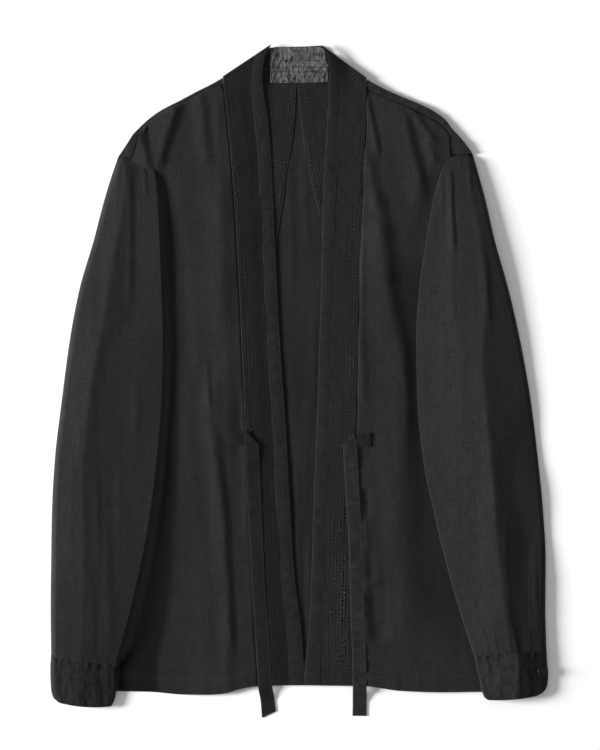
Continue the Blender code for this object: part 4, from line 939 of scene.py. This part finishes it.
def makeCuff(side):
    name = sideNames[side]
    own = cuffs[name]
    first, last = own["rows"][0][0], own["rows"][-1][0]
    downs = np.linspace(first, last, cuffs["stations"])
    ring, paintedLightAndShade = sleeveRings(side, own, downs, cuffs)
    floor = under(side, ring[..., 0], ring[..., 1])
    topside = ease((ring[..., 2] - floor - 1.0) / 3.0)
    fromSeam, fromMouth = downs[:, None] - first, last - downs[:, None]
    groove = softLine(fromSeam - 2.2, 0.8) + softLine(fromMouth - 2.2, 0.8)
    pucker = 1.2 * np.exp(-(fromSeam / 6.0)) + 0.7 * np.exp(-(fromMouth / 6.0))
    ripple = hills(ring[..., 0] / 2.6, fromSeam / 16.0, own["seed"] + 2)
    crumple = hills(ring[..., 0] / 4.6, fromSeam / 5.5, own["seed"] + 3)
    ring[..., 2] += topside * (0.7 * pucker * ripple + 0.42 * crumple - 0.4 * groove)
    rolled = softLine(fromSeam, 0.7) + 0.8 * softLine(fromMouth, 0.8)
    ring[..., 2] -= topside * rolled
    middle = ring.mean(axis=1, keepdims=True)
    inner = ring + (middle - ring) * np.array([0.03, 0.0, 0.0])
    inner[..., 2] = ring[..., 2] - cuffs["wall"] * topside + (1.2 * (1.0 - topside))
    closed = np.concatenate([ring, inner[::-1]], axis=0)
    # painted shade along the seam at the top of the cuff, with a painted highlight just below it; both
    # are added to the wear at the mouth's edge
    seamShadeAndHighlight = 0.4 * softLine(fromSeam - 1.8, 0.6) - 0.6 * softLine(fromSeam, 1.1)
    wear = 0.5 * softLine(fromMouth, 1.2) + seamShadeAndHighlight
    tone = 1.0 + wear * (0.8 + 0.4 * hills(ring[..., 0] / 2.5, fromSeam / 40.0, 35))
    # painted shade in the stitch grooves, painted highlights on the raised puckers and crumples
    tone = (tone - 0.42 * groove + 0.36 * pucker * ripple + 0.22 * crumple) * paintedLightAndShade
    tones = np.concatenate([tone, np.full(tone.shape, 0.85)[::-1]], axis=0)
    piece = makePiece(name + "Cuff", [(closed, tones, True, True)], shirtCloth, own["grain"])
    onFrame(piece, name + "_cuff", "shirt_cloth", own["flat"], None, [name + "Front"])
    points = ring[:, :cuffs["topCount"]]
    columnsOn = np.linspace(3, cuffs["topCount"] - 4, 300)
    runs = [stitchRun(points, share * (cuffs["stations"] - 1.0), columnsOn, 6)
            for share in (0.035, 0.965)]
    makeStitches(name + "CuffStitches", runs)


placket = {
    "from": 597.0, "to": 729.0,         # down
    "inside": 21.0, "outside": 5.0,     # from the sleeve's outer edge
    "rise": 0.6, "rows": 90, "columns": 14,
}


def makePlacket():
    own = rightSleeve
    downs = np.linspace(placket["from"], placket["to"], placket["rows"])
    width = column(own["rows"], 1, downs) - column(own["rows"], 2, downs)
    reach = np.linspace(placket["outside"], placket["inside"], placket["columns"])[None, :]
    shares = reach / width[:, None]
    across, down, height, _, paintedLightAndShade = sleeveTop(1, own, downs, shares)
    count = np.arange(placket["columns"])
    edge = np.minimum(count, count[::-1])[None, :]
    pull = -0.25 * softLine(edge - 1.6, 0.7)
    relief = 0.18 * hills(across / 2.6, down / 6.0, 44)
    head = ease((downs[:, None] - placket["from"]) / 2.0)
    tail = 1.4 * ease((downs[:, None] - (placket["to"] - 5.0)) / 5.0)
    points = gridOf(across, down, height + placket["rise"] * head + pull + relief - tail)
    # painted shade along the placket's edges, which damps the light its raised rims catch
    tone = (1.02 - 0.45 * np.exp(-edge ** 2.0)) * paintedLightAndShade
    piece = makeSheet("rightSleevePlacket", points, tone, shirtCloth, (1.0, 2.0), grain=-5.0)
    onFrame(piece, "right_sleeve_placket", "shirt_cloth", (0.018, 0.146), None, ["rightSleeve"])
    rows = np.linspace(1, 86, 120)
    runs = [stitchRun(points, rows, c, 8) for c in (1.6, 11.4)]
    runs += [stitchRun(points, row, np.linspace(1.6, 11.4, 20), 9, 1.8, 1.4) for row in (2.0, 13.0)]
    makeStitches("placketStitches", runs)


button = {
    "radius": 5.5, "down": 751.0, "lift": 0.8,      # millimetres
    "share": 0.1, "reach": 0.07,                    # place and half width, shares of the cuff
    "holeRing": 1.7, "hole": 0.75, "sides": 64,
    "threadLevel": 1.55, "threadGap": 0.22,
}


def makeButton():
    downs = np.array([button["down"]])
    s = button["share"]
    shares = np.array([[s - button["reach"], s, s + button["reach"]]])
    across, _, height, _, _ = sleeveTop(1, rightCuff, downs, shares)
    tilt = math.atan((height[0, 2] - height[0, 0]) / (across[0, 2] - across[0, 0]))
    centre = np.array([across[0, 1], button["down"], height[0, 1] + button["lift"]])

    def onTilt(along, beside, level):
        # from the button's own directions to pattern points
        return (centre[0] + along * math.cos(tilt) - level * math.sin(tilt), centre[1] + beside,
                centre[2] + level * math.cos(tilt) + along * math.sin(tilt))

    profile = [(0.0, 0.0), (0.62, 0.0), (0.86, 0.08), (0.97, 0.4), (1.0, 0.95), (0.985, 1.5),
               (0.93, 1.85), (0.84, 2.0), (0.75, 1.93), (0.66, 1.62), (0.56, 1.42), (0.46, 1.38),
               (0.36, 1.37), (0.26, 1.37), (0.14, 1.37), (0.0, 1.37)]
    angle = np.linspace(0.0, 2.0 * math.pi, button["sides"], endpoint=False)[None, :]
    radius = np.array([p[0] for p in profile])[:, None] * button["radius"]
    level = np.array([p[1] for p in profile])[:, None] + 0.0 * angle
    along, beside = radius * np.cos(angle), radius * np.sin(angle)
    for k in range(4):
        turn = math.pi / 4 + k * math.pi / 2
        hx, hy = button["holeRing"] * math.cos(turn), button["holeRing"] * math.sin(turn)
        near = np.hypot(along - hx, beside - hy) / button["hole"]
        level = level - np.where(level > 1.2, 1.0, 0.0) * 0.9 * np.exp(-near ** 4.0)
    points = gridOf(*onTilt(along, beside, level))
    piece = makePiece("rightCuffButton", [(points, 1.0, False, True)], buttonFinish)
    onFrame(piece, "right_cuff_button", "button")
    runs = []
    for turn in (math.pi / 4, 3 * math.pi / 4):
        for shift in (-button["threadGap"], button["threadGap"]):
            ends = []
            for sign in (-1.0, 1.0):
                r = sign * (button["holeRing"] + 0.1)
                a = r * math.cos(turn) - shift * math.sin(turn)
                b = r * math.sin(turn) + shift * math.cos(turn)
                ends.append(np.array([onTilt(a, b, button["threadLevel"])]))
            runs.append(ends)
    makeStitches("buttonThread", runs, 0.5, 0.35, greyThread)


# the collar: bands, stand, patch and facings

bands = {
    "left": {
        "rows": [  # seam across, seam down, edge across, edge down
            (-90.6, 38.4, -34.4, 0.8), (-89.4, 54, -41.6, 18), (-87.4, 72, -44.2, 40),
            (-84.8, 96, -41.6, 64), (-81.8, 126, -37.2, 92.4), (-78, 174, -33.2, 144),
            (-74.6, 222, -30.6, 204), (-70.8, 294, -27, 284.4), (-67.2, 378, -22.2, 372),
            (-63.6, 462, -16, 459.6), (-60, 546, -11.6, 546), (-55.8, 630, -6.4, 630),
            (-52.2, 702, 2.4, 702), (-49.2, 752.4, 5.8, 751.2), (-48.6, 767.2, 6.2, 767.2),
        ],
        "section": ((0, 6.9), (0.34, 6.3), (0.67, 4.7), (1, 4.9)),  # share of the width, height
        "tone": 0.71, "edgeTone": 0.9, "neckLift": 2.8, "neckShade": 0.0, "lateWear": 0.3,
        "seed": 110,
    },
    "right": {
        "rows": [
            (80.2, 40, 27.4, 1.4), (80.4, 56.4, 34.2, 15.6), (80, 74.4, 36.4, 37.2),
            (79.4, 96, 36, 62.4), (77.8, 126, 34.4, 92.4), (75.4, 174, 31, 144),
            (74, 222, 28.8, 204), (71.2, 294, 27.4, 284.4), (69.2, 378, 24.8, 372),
            (67.2, 462, 22, 459.6), (65.4, 546, 18.4, 546), (63.4, 630, 15.8, 630),
            (61.8, 702, 12.6, 702), (63.6, 752.4, 7.2, 751.2), (64.8, 767.2, 7.2, 767.2),
        ],
        "section": ((0, 6.9), (0.67, 5.8), (1, 5.2)),
        "tone": 0.97, "edgeTone": 0.9, "neckLift": 3.4, "neckShade": 0.46, "lateWear": 1.1,
        "seed": 120,
    },
    "share": 0.67, "wall": 1.6,
    "quilting": (1.8, 5.6, 9.6, 13.6, 17.6, 21.6, 25.8),  # millimetres from the seam
    "depth": (0.9, 0.9, 0.7, 0.45, 0.4, 0.4, 0.4),
    "quiltEnd": 748.0, "pitch": 4.0,
    "hemSeam": 756.0, "hemEdge": 765.8,     # down: middle of the hem's puckers, start of its wear
    "stations": 1000, "columns": 46, "edgeStations": 600, "edgeColumns": 17,
}


def bandGrid(name, shares, stations):
    along = np.linspace(0.0, 1.0, stations)
    seam, seamDown, edge, edgeDown = (c[:, None] for c in tableAt(bands[name]["rows"], along))
    across = seam + shares * (edge - seam)
    down = seamDown + shares * (edgeDown - seamDown)
    height = column(bands[name]["section"], 1, shares)
    near = softLine(np.maximum(down, 0.0), 62.0)
    height = height + bands[name]["neckLift"] * near * ease((shares - 0.3) / 0.7)
    width = np.hypot(edge - seam, edgeDown - seamDown)
    run = np.concatenate([[0], np.cumsum(np.hypot(np.diff(seam[:, 0]), np.diff(seamDown[:, 0])))])
    return across, down, height + 0.0 * across, shares * width, run[:, None], seamDown


def quiltRelief(fromEdge, run, rows, depths, pitch, seed):
    # rows of running stitch: pits at the stitches and small worn pillows between them
    groove, pillow = np.zeros(fromEdge.shape), np.zeros(fromEdge.shape)
    for k, (at, depth) in enumerate(zip(rows, depths)):
        drift = 1.1 * hills(run / 19.0, k, seed + 8)
        beat = 0.5 + 0.5 * np.cos(2.0 * math.pi * (run / pitch + 0.37 * k + drift))
        uneven = 1.0 + 0.9 * hills(run / 5.0, 2.3 * k, seed + 9)
        worn = 0.4 + 0.9 * ease(0.5 + 0.9 * hills(run / 26.0, 1.7 * k, seed + 10))
        strength = depth * uneven
        groove += strength * softLine(fromEdge - at, 0.9) * (0.08 + 0.92 * beat ** 2)
        ridge = softLine(fromEdge - at - 1.9, 1.5) * (1.0 - beat) ** 2
        pillow += strength * worn * ridge
    return groove, pillow


def crossPuckers(run, beside, seed, pitch=3.7):
    # short puckers that run across a band, here and there
    wave = np.cos(2.0 * math.pi * (run / pitch + 0.8 * hills(run / 18.0, beside / 30.0, seed)))
    return wave * ease(0.45 + 0.9 * hills(run / 16.0, beside / 9.0, seed + 1))


def collarShade(own, shares, down):
    # painted shade: each band's tone draws it darker, the left band most as it slopes away from the
    # lamp, and neckShade draws the collar darker where it turns away from the light beside the neck
    near = softLine(np.maximum(down - 8.0, 0.0), 62.0)
    return own["tone"] * (1.0 - own["neckShade"] * near * ease((shares - 0.3) / 0.25))


def makeBand(side):
    name = sideNames[side]
    own = bands[name]
    shares = np.linspace(0.0, bands["share"], bands["columns"])[None, :]
    across, down, height, fromSeam, run, seamDown = bandGrid(name, shares, bands["stations"])
    quilted = 1.0 - ease((seamDown - bands["quiltEnd"]) / 3.0)
    height = height + 0.35 * hills(run / 45.0, fromSeam / 30.0, own["seed"])
    height = height + 0.22 * hills(run / 9.0 + fromSeam / 30.0, fromSeam / 14.0, own["seed"] + 1)
    groove, pillow = quiltRelief(fromSeam, run, bands["quilting"], bands["depth"], bands["pitch"],
                                 own["seed"])
    nearSeam = 0.45 + 0.55 * ease((11.0 - fromSeam) / 3.0)
    rungs = quilted * ease((fromSeam - 1.5) / 1.2) * nearSeam
    rungs = rungs * crossPuckers(run, fromSeam, own["seed"] + 12)
    late = 1.0 + own["lateWear"] * ease((run - 470.0) / 60.0) * ease((fromSeam - 4.0) / 4.0)
    groove, pillow = groove * (1.3 * late - 0.3), pillow * (0.6 * late + 0.4)
    rungs = rungs * (0.35 + 0.65 * ease((seamDown - 60.0) / 90.0))
    rungs = rungs * (0.4 + 0.6 * late)
    height = height + quilted * (0.5 * pillow - 0.5 * groove) + 0.24 * rungs
    hemLine = softLine(seamDown - bands["quiltEnd"] - 1.5, 1.0)
    height = height - 0.35 * hemLine
    points = gridOf(across, down, height)
    edgeWear = softLine(fromSeam, 0.9) * (0.75 + 0.35 * hills(run / 5.0, 0.0, 15))
    hemWear = 0.5 * ease(seamDown - bands["hemEdge"])
    hemDashes = softLine(seamDown - bands["hemSeam"], 4.5) * hills(fromSeam / 1.5, seamDown / 9.0, 23)
    height = height + 0.3 * hemDashes
    # the pillows, cross puckers and hem puckers are drawn lighter where worn; the stitch pits are drawn
    # darker, which is painted shade
    tone = 0.89 + quilted * (0.85 * pillow - 0.55 * groove) + 0.26 * rungs + 0.35 * hemDashes
    tone = tone + 0.14 * hills(run / 40.0, fromSeam / 12.0, own["seed"] + 4)
    tone = tone * collarShade(own, shares, down) + 0.8 * edgeWear + hemWear
    piece = makeSheet(name + "Band", points, tone, quiltCloth, (bands["wall"], 4.0))
    onFrame(piece, name + "_band", "quilted_cloth", (0.036, 0.735), None, [name + "Front"])
    runs = []
    rowsAt = np.linspace(2, bands["stations"] * 0.975, 1400)
    for k, at in enumerate(bands["quilting"]):
        share = at / np.interp(rowsAt, np.arange(bands["stations"]), fromSeam[:, -1])
        runs.append(stitchRun(points, rowsAt, share * (bands["columns"] - 1.0), own["seed"] + k,
                              bands["pitch"], 2.0, 0.05))
    acrossBand = np.linspace(1, bands["columns"] - 2, 60)
    runs.append(stitchRun(points, bands["stations"] * 0.979, acrossBand, 17))
    makeStitches(name + "BandStitches", runs)


def makeBandEdge(side):
    name = sideNames[side]
    own = bands[name]
    shares = np.linspace(bands["share"] + 0.004, 1.0, bands["edgeColumns"])[None, :]
    across, down, height, fromSeam, run, seamDown = bandGrid(name, shares, bands["edgeStations"])
    inner, outer = fromSeam - fromSeam[:, :1], fromSeam[:, -1:] - fromSeam
    height = height + 0.45 * np.sin(np.pi * (shares - bands["share"]) / (1.0 - bands["share"]))
    calm = 0.3 + 0.7 * ease((seamDown - 80.0) / 90.0)
    pucker = calm * hills((run + inner * 0.2) / 4.6, inner / 9.0, own["seed"] + 6)
    height = height + 0.2 * pucker + 0.3 * hills(run / 38.0, inner / 20.0, own["seed"] + 7)
    height = height - 0.3 * softLine(outer - 1.6, 0.7)
    rungs = calm * crossPuckers(run + 0.15 * inner, inner, own["seed"] + 14, 4.3)
    points = gridOf(across, down, height + 0.1 * rungs)
    wear = softLine(outer, 0.9) * (0.8 + 0.3 * hills(run / 6.0, 0.0, 16))
    tone = 1.0 + 0.2 * pucker + 0.14 * hills(run / 5.0, inner / 4.0, own["seed"] + 8) + 0.08 * rungs
    tone = tone * own["edgeTone"] / own["tone"] * collarShade(own, shares, down) + 0.6 * wear
    tone = tone + 0.5 * ease(seamDown - bands["hemEdge"])
    piece = makeSheet(name + "BandEdge", points, tone, quiltCloth, (bands["wall"], 4.0))
    onFrame(piece, name + "_band_edge", "shirt_cloth", (0.019, 0.77), None, [name + "Band"])
    rowsAt = np.linspace(1, bands["edgeStations"] - 3, 1200)
    runs = [stitchRun(points, rowsAt, share * (bands["edgeColumns"] - 1.0), 18 + k, 2.5, 2.0)
            for k, share in enumerate((0.9, 0.067))]
    makeStitches(name + "BandEdgeStitches", runs, 0.4, 0.2)


neck = {
    "stand": [  # across, top, bottom
        (-74, 31, 46), (-54, 17.6, 46), (-34, 4.4, 46), (-16, 3.6, 46), (6, 3.2, 46),
        (24, 2.2, 46), (42, 14, 46), (62, 28.4, 46),
    ],
    "patch": [
        (-34, 6.4, 45.4), (-27.6, 2.9, 45.4), (-16, 3.8, 45.4), (6, 3.6, 45), (22, 2.6, 44.6),
        (29, 5.4, 44.2), (34.6, 26, 44),
    ],
    "standHeight": 2.4, "patchHeight": 3.75,
    "standGrid": (110, 40), "patchGrid": (150, 90),     # columns, rows
    "patchRows": (19.0, 27.0, 32.4),  # stitched lines, down from the collar's top
}


def standGrid(rows, columns, count):
    across = np.linspace(rows[0][0], rows[-1][0], columns)[None, :]
    high, low = column(rows, 1, across[0])[None, :], column(rows, 2, across[0])[None, :]
    v = np.linspace(0.0, 1.0, count)[:, None]
    return across + 0.0 * v, high + v * (low - high)


def makeStand():
    across, down = standGrid(neck["stand"], *neck["standGrid"])
    height = neck["standHeight"] + 0.2 * hills(across / 8.0, down / 8.0, 131)
    points = gridOf(across, down, height)
    tone = 1.0 + 0.6 * softLine(down - down[:1], 1.0)
    piece = makeSheet("neckStand", points, tone, quiltCloth, (neck["standHeight"], 0.5))
    onFrame(piece, "neck_stand", "quilted_cloth", (0.136, 0.044), 0.0046)


def makePatch():
    across, down = standGrid(neck["patch"], *neck["patchGrid"])
    sharp = 1.0 - np.abs(hills(across / 6.0 + down / 15.0, down / 9.0, 141))
    vertical = 1.0 - np.abs(hills(across / 3.6, down / 13.0, 142))
    height = neck["patchHeight"] + 0.7 * sharp ** 3 + 0.6 * vertical ** 3
    height = height + 0.2 * hills(across / 14.0, down / 14.0, 143)
    lines = np.zeros(across.shape)
    for at in neck["patchRows"]:
        lines = lines + softLine(down - at, 0.8)
    height = height - 0.3 * lines - 0.4 * (1.0 - ease((45.0 - down) / 1.5))
    points = gridOf(across, down, height)
    tone = 0.95 + 0.45 * hills(across / 5.0, down / 4.0, 144) + 0.4 * hills(across / 2, down / 2.4, 145)
    # painted shadow: the left end of the patch is drawn darker, where the left band's raised edge
    # shades it
    tone = tone * (0.6 + 0.45 * ease((across + 34.0) / 16.0)) - 0.35 * lines
    piece = makeSheet("neckPatch", points, np.maximum(tone, 0.25), patchCloth, (1.0, 2.0))
    onFrame(piece, "neck_patch", "faded_patch", (0.069, 0.043), 0.0028, ["neckStand"])
    columnsOn = np.linspace(2, 147, 120)
    runs = []
    for k, at in enumerate(neck["patchRows"]):
        rowsOn = [np.interp(at, down[:, int(c)], np.arange(len(down))) for c in columnsOn]
        runs.append(stitchRun(points, rowsOn, columnsOn, 20 + k))
    runs.append(stitchRun(points, 86.5, columnsOn, 25))
    makeStitches("patchStitches", runs, 0.45, 0.25, greyThread)


facings = {
    "left": [  # down, free edge, hidden edge
        (47.4, -3.4, -45), (78, -4.8, -45), (114, -8.4, -42), (150, -14.4, -40),
        (186, -19.2, -38.6), (216, -24, -37.4), (240, -28.2, -36.4),
    ],
    "right": [
        (47.4, -1.8, 42), (84, 2.4, 42), (114, 6, 40), (150, 12, 38), (180, 19.2, 36.6),
        (204, 25.2, 35.4),
    ],
    "height": 3.6, "wall": 1.3, "pitch": 3.3,
    "cut": {-1: ((0.044, 0.193), 0.0051), 1: ((0.044, 0.157), 0.0043)},    # metres
    "rows": 260, "columns": 46,
    "quilting": (2.0, 5.8, 9.8, 13.8, 17.8, 21.8, 25.8, 29.8, 33.8, 37.8),
    "depth": (1.0, 0.9, 0.7, 0.7, 0.7, 0.7, 0.7, 0.7, 0.7, 0.7),
}


def makeFacing(side):
    name = sideNames[side]
    rows = facings[name]
    downs = np.linspace(rows[0][0], rows[-1][0], facings["rows"])[:, None]
    free, hidden = column(rows, 1, downs[:, 0])[:, None], column(rows, 2, downs[:, 0])[:, None]
    share = np.linspace(0.0, 1.0, facings["columns"])[None, :]
    across = free + share * (hidden - free)
    down = downs + 0.0 * across
    fromFree = np.abs(across - free)
    height = np.full(across.shape, facings["height"])
    height = height + 0.25 * hills(across / 12.0, down / 20.0, 151 + side)
    groove, pillow = quiltRelief(fromFree, down, facings["quilting"], facings["depth"],
                                 facings["pitch"], 150 + side)
    rungs = crossPuckers(down, fromFree, 158 + side) * ease((fromFree - 1.5) / 1.5)
    height = height + 0.45 * pillow - 0.45 * groove + 0.14 * rungs
    points = gridOf(across, down, height)
    wear = softLine(fromFree, 0.9)
    # the free edge and pillows are drawn lighter where worn; the stitch pits are drawn darker, which is
    # painted shade
    tone = 0.84 + 0.7 * wear + 0.95 * pillow - 0.4 * groove + 0.14 * rungs
    tone = tone + 0.12 * hills(across / 8, down / 30, 155)
    piece = makeSheet(name + "NeckFacing", points, tone, quiltCloth, (facings["wall"], 1.0))
    onFrame(piece, name + "_neck_facing", "quilted_cloth", *facings["cut"][side], ["backPanel"])
    runs = []
    width = np.abs(hidden - free)[:, 0]
    for k, at in enumerate(facings["quilting"]):
        wide = width > at + 1.0
        rowsOn = np.flatnonzero(wide)
        if len(rowsOn) < 8:
            continue
        columnsOn = at / width[wide] * (facings["columns"] - 1.0)
        runs.append(stitchRun(points, rowsOn, columnsOn, 160 + k, facings["pitch"], 2.1, 0.05))
    makeStitches(name + "FacingStitches", runs)


# the ties

ties = {
    "left": {
        "start": -85.2, "turn": -64.0, "level": 471.0,
        "rows": [  # across, down, height of the top
            (-56.2, 482, 9.8), (-54.4, 522, 8.3), (-51.2, 594, 8.1), (-48.6, 644, 8.0),
            (-45.4, 690, 7.8), (-42, 738, 7.7), (-40.4, 770, 7.4), (-38.6, 780, 3.6),
            (-37.4, 789, 1.3), (-36.2, 802.8, 1.3),
        ],
        "slant": 3.0, "tilt": 1.1, "tone": 0.6, "sewnPaintedShadeTone": 0.5, "seed": 170, "crumple": 0.35,
    },
    "right": {
        "start": 85.2, "turn": 65.6, "level": 474.0,
        "rows": [
            (61.6, 488, 10), (64, 534, 8.7), (67.8, 594, 8.5), (69.4, 644, 8.5),
            (71, 700, 8.5), (72.6, 756, 8.5), (72.8, 771, 8.1), (72.8, 781, 3.6),
            (72.8, 790, 1.3), (72.6, 804.4, 1.3),
        ],
        "slant": 0.0, "tilt": 0.3, "tone": 1.05, "sewnPaintedShadeTone": 0.62, "seed": 180, "crumple": 0.75,
    },
    "width": 15.6, "wall": 1.2, "bandTop": 8.7,     # millimetres
    "columns": 19, "hangingRows": 240, "foldRows": 13, "sewnRows": 30,
}


def makeTie(side):
    name = sideNames[side]
    own = ties[name]
    half, wall = ties["width"] / 2.0, ties["wall"]
    low = ties["bandTop"] + wall / 2.0
    acrossTape = np.linspace(-1.0, 1.0, ties["columns"])[None, :]
    # the hanging length, from the slanting fold to the cut end
    down = np.linspace(own["level"] + half, own["rows"][-1][1], ties["hangingRows"])
    centre, height = column(own["rows"], 0, down, by=1), column(own["rows"], 2, down, by=1)
    drift = np.gradient(centre, down)
    beside = np.stack([np.ones(len(down)), -drift], axis=1)
    beside /= np.linalg.norm(beside, axis=1, keepdims=True)
    across = centre[:, None] + half * acrossTape * beside[:, :1]
    downs = down[:, None] + half * acrossTape * beside[:, 1:]
    nearEnd = ease((down[:, None] - down[-1] + 10.0) / 10.0)
    downs = downs + nearEnd * own["slant"] * acrossTape * side
    upper = np.array([own["turn"], own["level"] - half])
    corner = np.array([own["turn"] - side * ties["width"], own["level"] + half])
    outer = (acrossTape * side + 1.0) / 2.0     # 1 at the edge away from the centre line
    foldAcross = corner[0] + (upper[0] - corner[0]) * outer
    foldDown = corner[1] + (upper[1] - corner[1]) * outer
    steps = np.linspace(0.0, 1.0, ties["foldRows"], endpoint=False)[:, None]
    headAcross = foldAcross * (1 - steps) + across[:1] * steps
    headDown = foldDown * (1 - steps) + downs[:1] * steps
    across = np.concatenate([headAcross, across])
    downs = np.concatenate([headDown, downs])
    height = np.concatenate([np.full(ties["foldRows"], height[0]), height])[:, None]
    pucker = hills(downs / 5.0 + 0.12 * acrossTape, downs / 90.0 + acrossTape * 0.7, own["seed"])
    waves = hills(downs / 26.0, acrossTape * 0.6, own["seed"] + 1)
    firm = ease((height - 2.0) / 4.0) * 0.8 + 0.2
    edge = 1.0 - np.abs(acrossTape)
    relief = own["crumple"] * pucker * firm + 0.35 * waves * firm
    relief = relief - 0.22 * softLine(edge * half - 1.7, 0.7)
    lean = own["tilt"] * firm * (acrossTape + 1.0) / 2.0
    z = np.maximum(height + relief - lean, wall + 0.05)
    points = gridOf(across, downs, z)
    wear = softLine(edge * half, 0.8)
    tone = 1.0 + 0.75 * wear * (0.8 + 0.3 * hills(downs / 7.0, 0.0, 172)) + 0.2 * pucker
    # painted shade and light: the left tie, lying on the band that slopes away from the lamp, is drawn
    # darker, the right a little lighter
    tone = tone * own["tone"]
    hanging, hangingTone = withRim(points, tone, wall, 5.0)
    # the sewn end, a flat box beside the band
    u = np.linspace(0.0, 1.0, ties["sewnRows"])[None, :]
    v = acrossTape.T
    stubAcross = own["start"] + u * (own["turn"] - side * 6.0 - own["start"]) + 0.0 * v
    stubDown = own["level"] + half * v + 0.0 * u
    fromStart = np.abs(stubAcross - own["start"])
    fromSides = half * (1.0 - np.abs(v))
    ring = softLine(np.minimum(fromStart, fromSides) - 1.6, 0.7)
    stubHeight = low - 0.7 + 0.3 * ease(fromStart / 18.0) - 0.3 * ring
    stubHeight = stubHeight + 0.2 * hills(stubAcross / 5.0, stubDown / 5.0, own["seed"] + 3)
    stub = np.stack([stubAcross, stubDown, stubHeight], axis=2)
    rim = softLine(np.minimum(fromStart, fromSides), 0.8)
    # painted shade: the sewn end is drawn darker than the tape, with lighter worn lines round its rim
    stubTone = own["sewnPaintedShadeTone"] + 0.35 * rim * (0.8 + 0.5 * hills(stubAcross / 2.5, stubDown / 2.5, 176))
    stubTone = stubTone - 0.15 * ring
    sewn, sewnPaintedShadeTone = withRim(stub, stubTone, wall, 3.0)
    piece = makePiece(name + "Tie", [(hanging, hangingTone, False, False),
                                     (sewn, sewnPaintedShadeTone, False, False)], tapeCloth)
    onFrame(piece, name + "_tie", "tie_tape", (0.034, 0.37), None,
            [name + "Front", name + "Band"], "hung")
    end = points.shape[0] - 3.0
    runs = [stitchRun(points, np.linspace(12, end, 700), c, 173) for c in (2.0, 16.0)]
    runs.append(stitchRun(points, end, np.linspace(2, 16, 30), 174))
    # the stitched box on the sewn end: columns, then rows, of its four sides
    box = [(3.6, 3.6, 2.0, 16.0), (26.0, 26.0, 2.0, 16.0), (3.6, 26.0, 2.0, 2.0),
           (3.6, 26.0, 16.0, 16.0)]
    for c0, c1, r0, r1 in box:
        rowsOn, columnsOn = np.linspace(r0, r1, 20), np.linspace(c0, c1, 20)
        runs.append(stitchRun(stub, rowsOn, columnsOn, 175, 2.0, 1.6))
    makeStitches(name + "TieStitches", runs)


# build everything

makeBack()
print("back panel done")
for side in (-1, 1):
    makeSaddle(side)
    makeFront(side)
print("saddles and fronts done")
for make in (makeSleeve, makeCuff):
    for side in (-1, 1):
        make(side)
makePlacket()
makeButton()
print("sleeves, cuffs, placket and button done")
for side in (-1, 1):
    makeBand(side)
    makeBandEdge(side)
    makeFacing(side)
    makeTie(side)
makeStand()
makePatch()
print("collar and ties done")


# floor, camera and light

studio = {
    "cameraHeight": 4.0,
    "aim": (0.0009, 0.0066),    # middle of the photograph's frame, metres
    "frameHeight": 0.9,
    "floorReach": 6.0,
    "floorDrop": 0.0004,        # keeps the floor just clear of the cloth's underside
    "keyFrom": 180.0,           # direction of the key light round the shirt, degrees
    "keyRise": 22.0,            # degrees above the floor
    "keyReach": 6.0,
    "keyPower": 760.0,
    "keySize": 1.7,
    "fill": 0.39,
}


def makeFloor():
    material, _, shader = newMaterial("paleFloor")
    pale = (0.95, 0.95, 0.95, 1.0)
    setInputs(shader, {"Base Color": pale, "Roughness": 0.9, "Specular IOR Level": 0.1})
    s = studio["floorReach"]
    corners = np.array([(-s, -s, 0), (s, -s, 0), (s, s, 0), (-s, s, 0)])
    floor = addMesh("floor", corners, [(0, 1, 2, 3)], material)
    floor.location.z = -studio["floorDrop"]


def makeCamera():
    camera = addObject("camera", bpy.data.cameras.new("camera"))
    camera.location = (*studio["aim"], studio["cameraHeight"])
    camera.data.sensor_width = 36.0
    camera.data.lens = 36.0 * studio["cameraHeight"] / studio["frameHeight"]
    bpy.context.scene.camera = camera


def makeLights():
    light = bpy.data.lights.new("key", "AREA")
    light.size = studio["keySize"]
    light.energy = studio["keyPower"]
    key = addObject("key", light)
    turn, rise = math.radians(studio["keyFrom"]), math.radians(studio["keyRise"])
    reach = studio["keyReach"]
    key.location = (reach * math.cos(rise) * math.cos(turn), reach * math.cos(rise) * math.sin(turn),
                    reach * math.sin(rise))
    key.rotation_euler = (0.0, math.radians(90.0) - rise, turn)
    world = bpy.data.worlds.new("softbox")
    world.use_nodes = True
    white = (1.0, 1.0, 1.0, 1.0)
    setInputs(world.node_tree.nodes["Background"], {"Color": white, "Strength": studio["fill"]})
    bpy.context.scene.world = world
    bpy.context.scene.view_settings.view_transform = "Standard"


makeFloor()
makeCamera()
makeLights()
print("floor, camera and lights done")
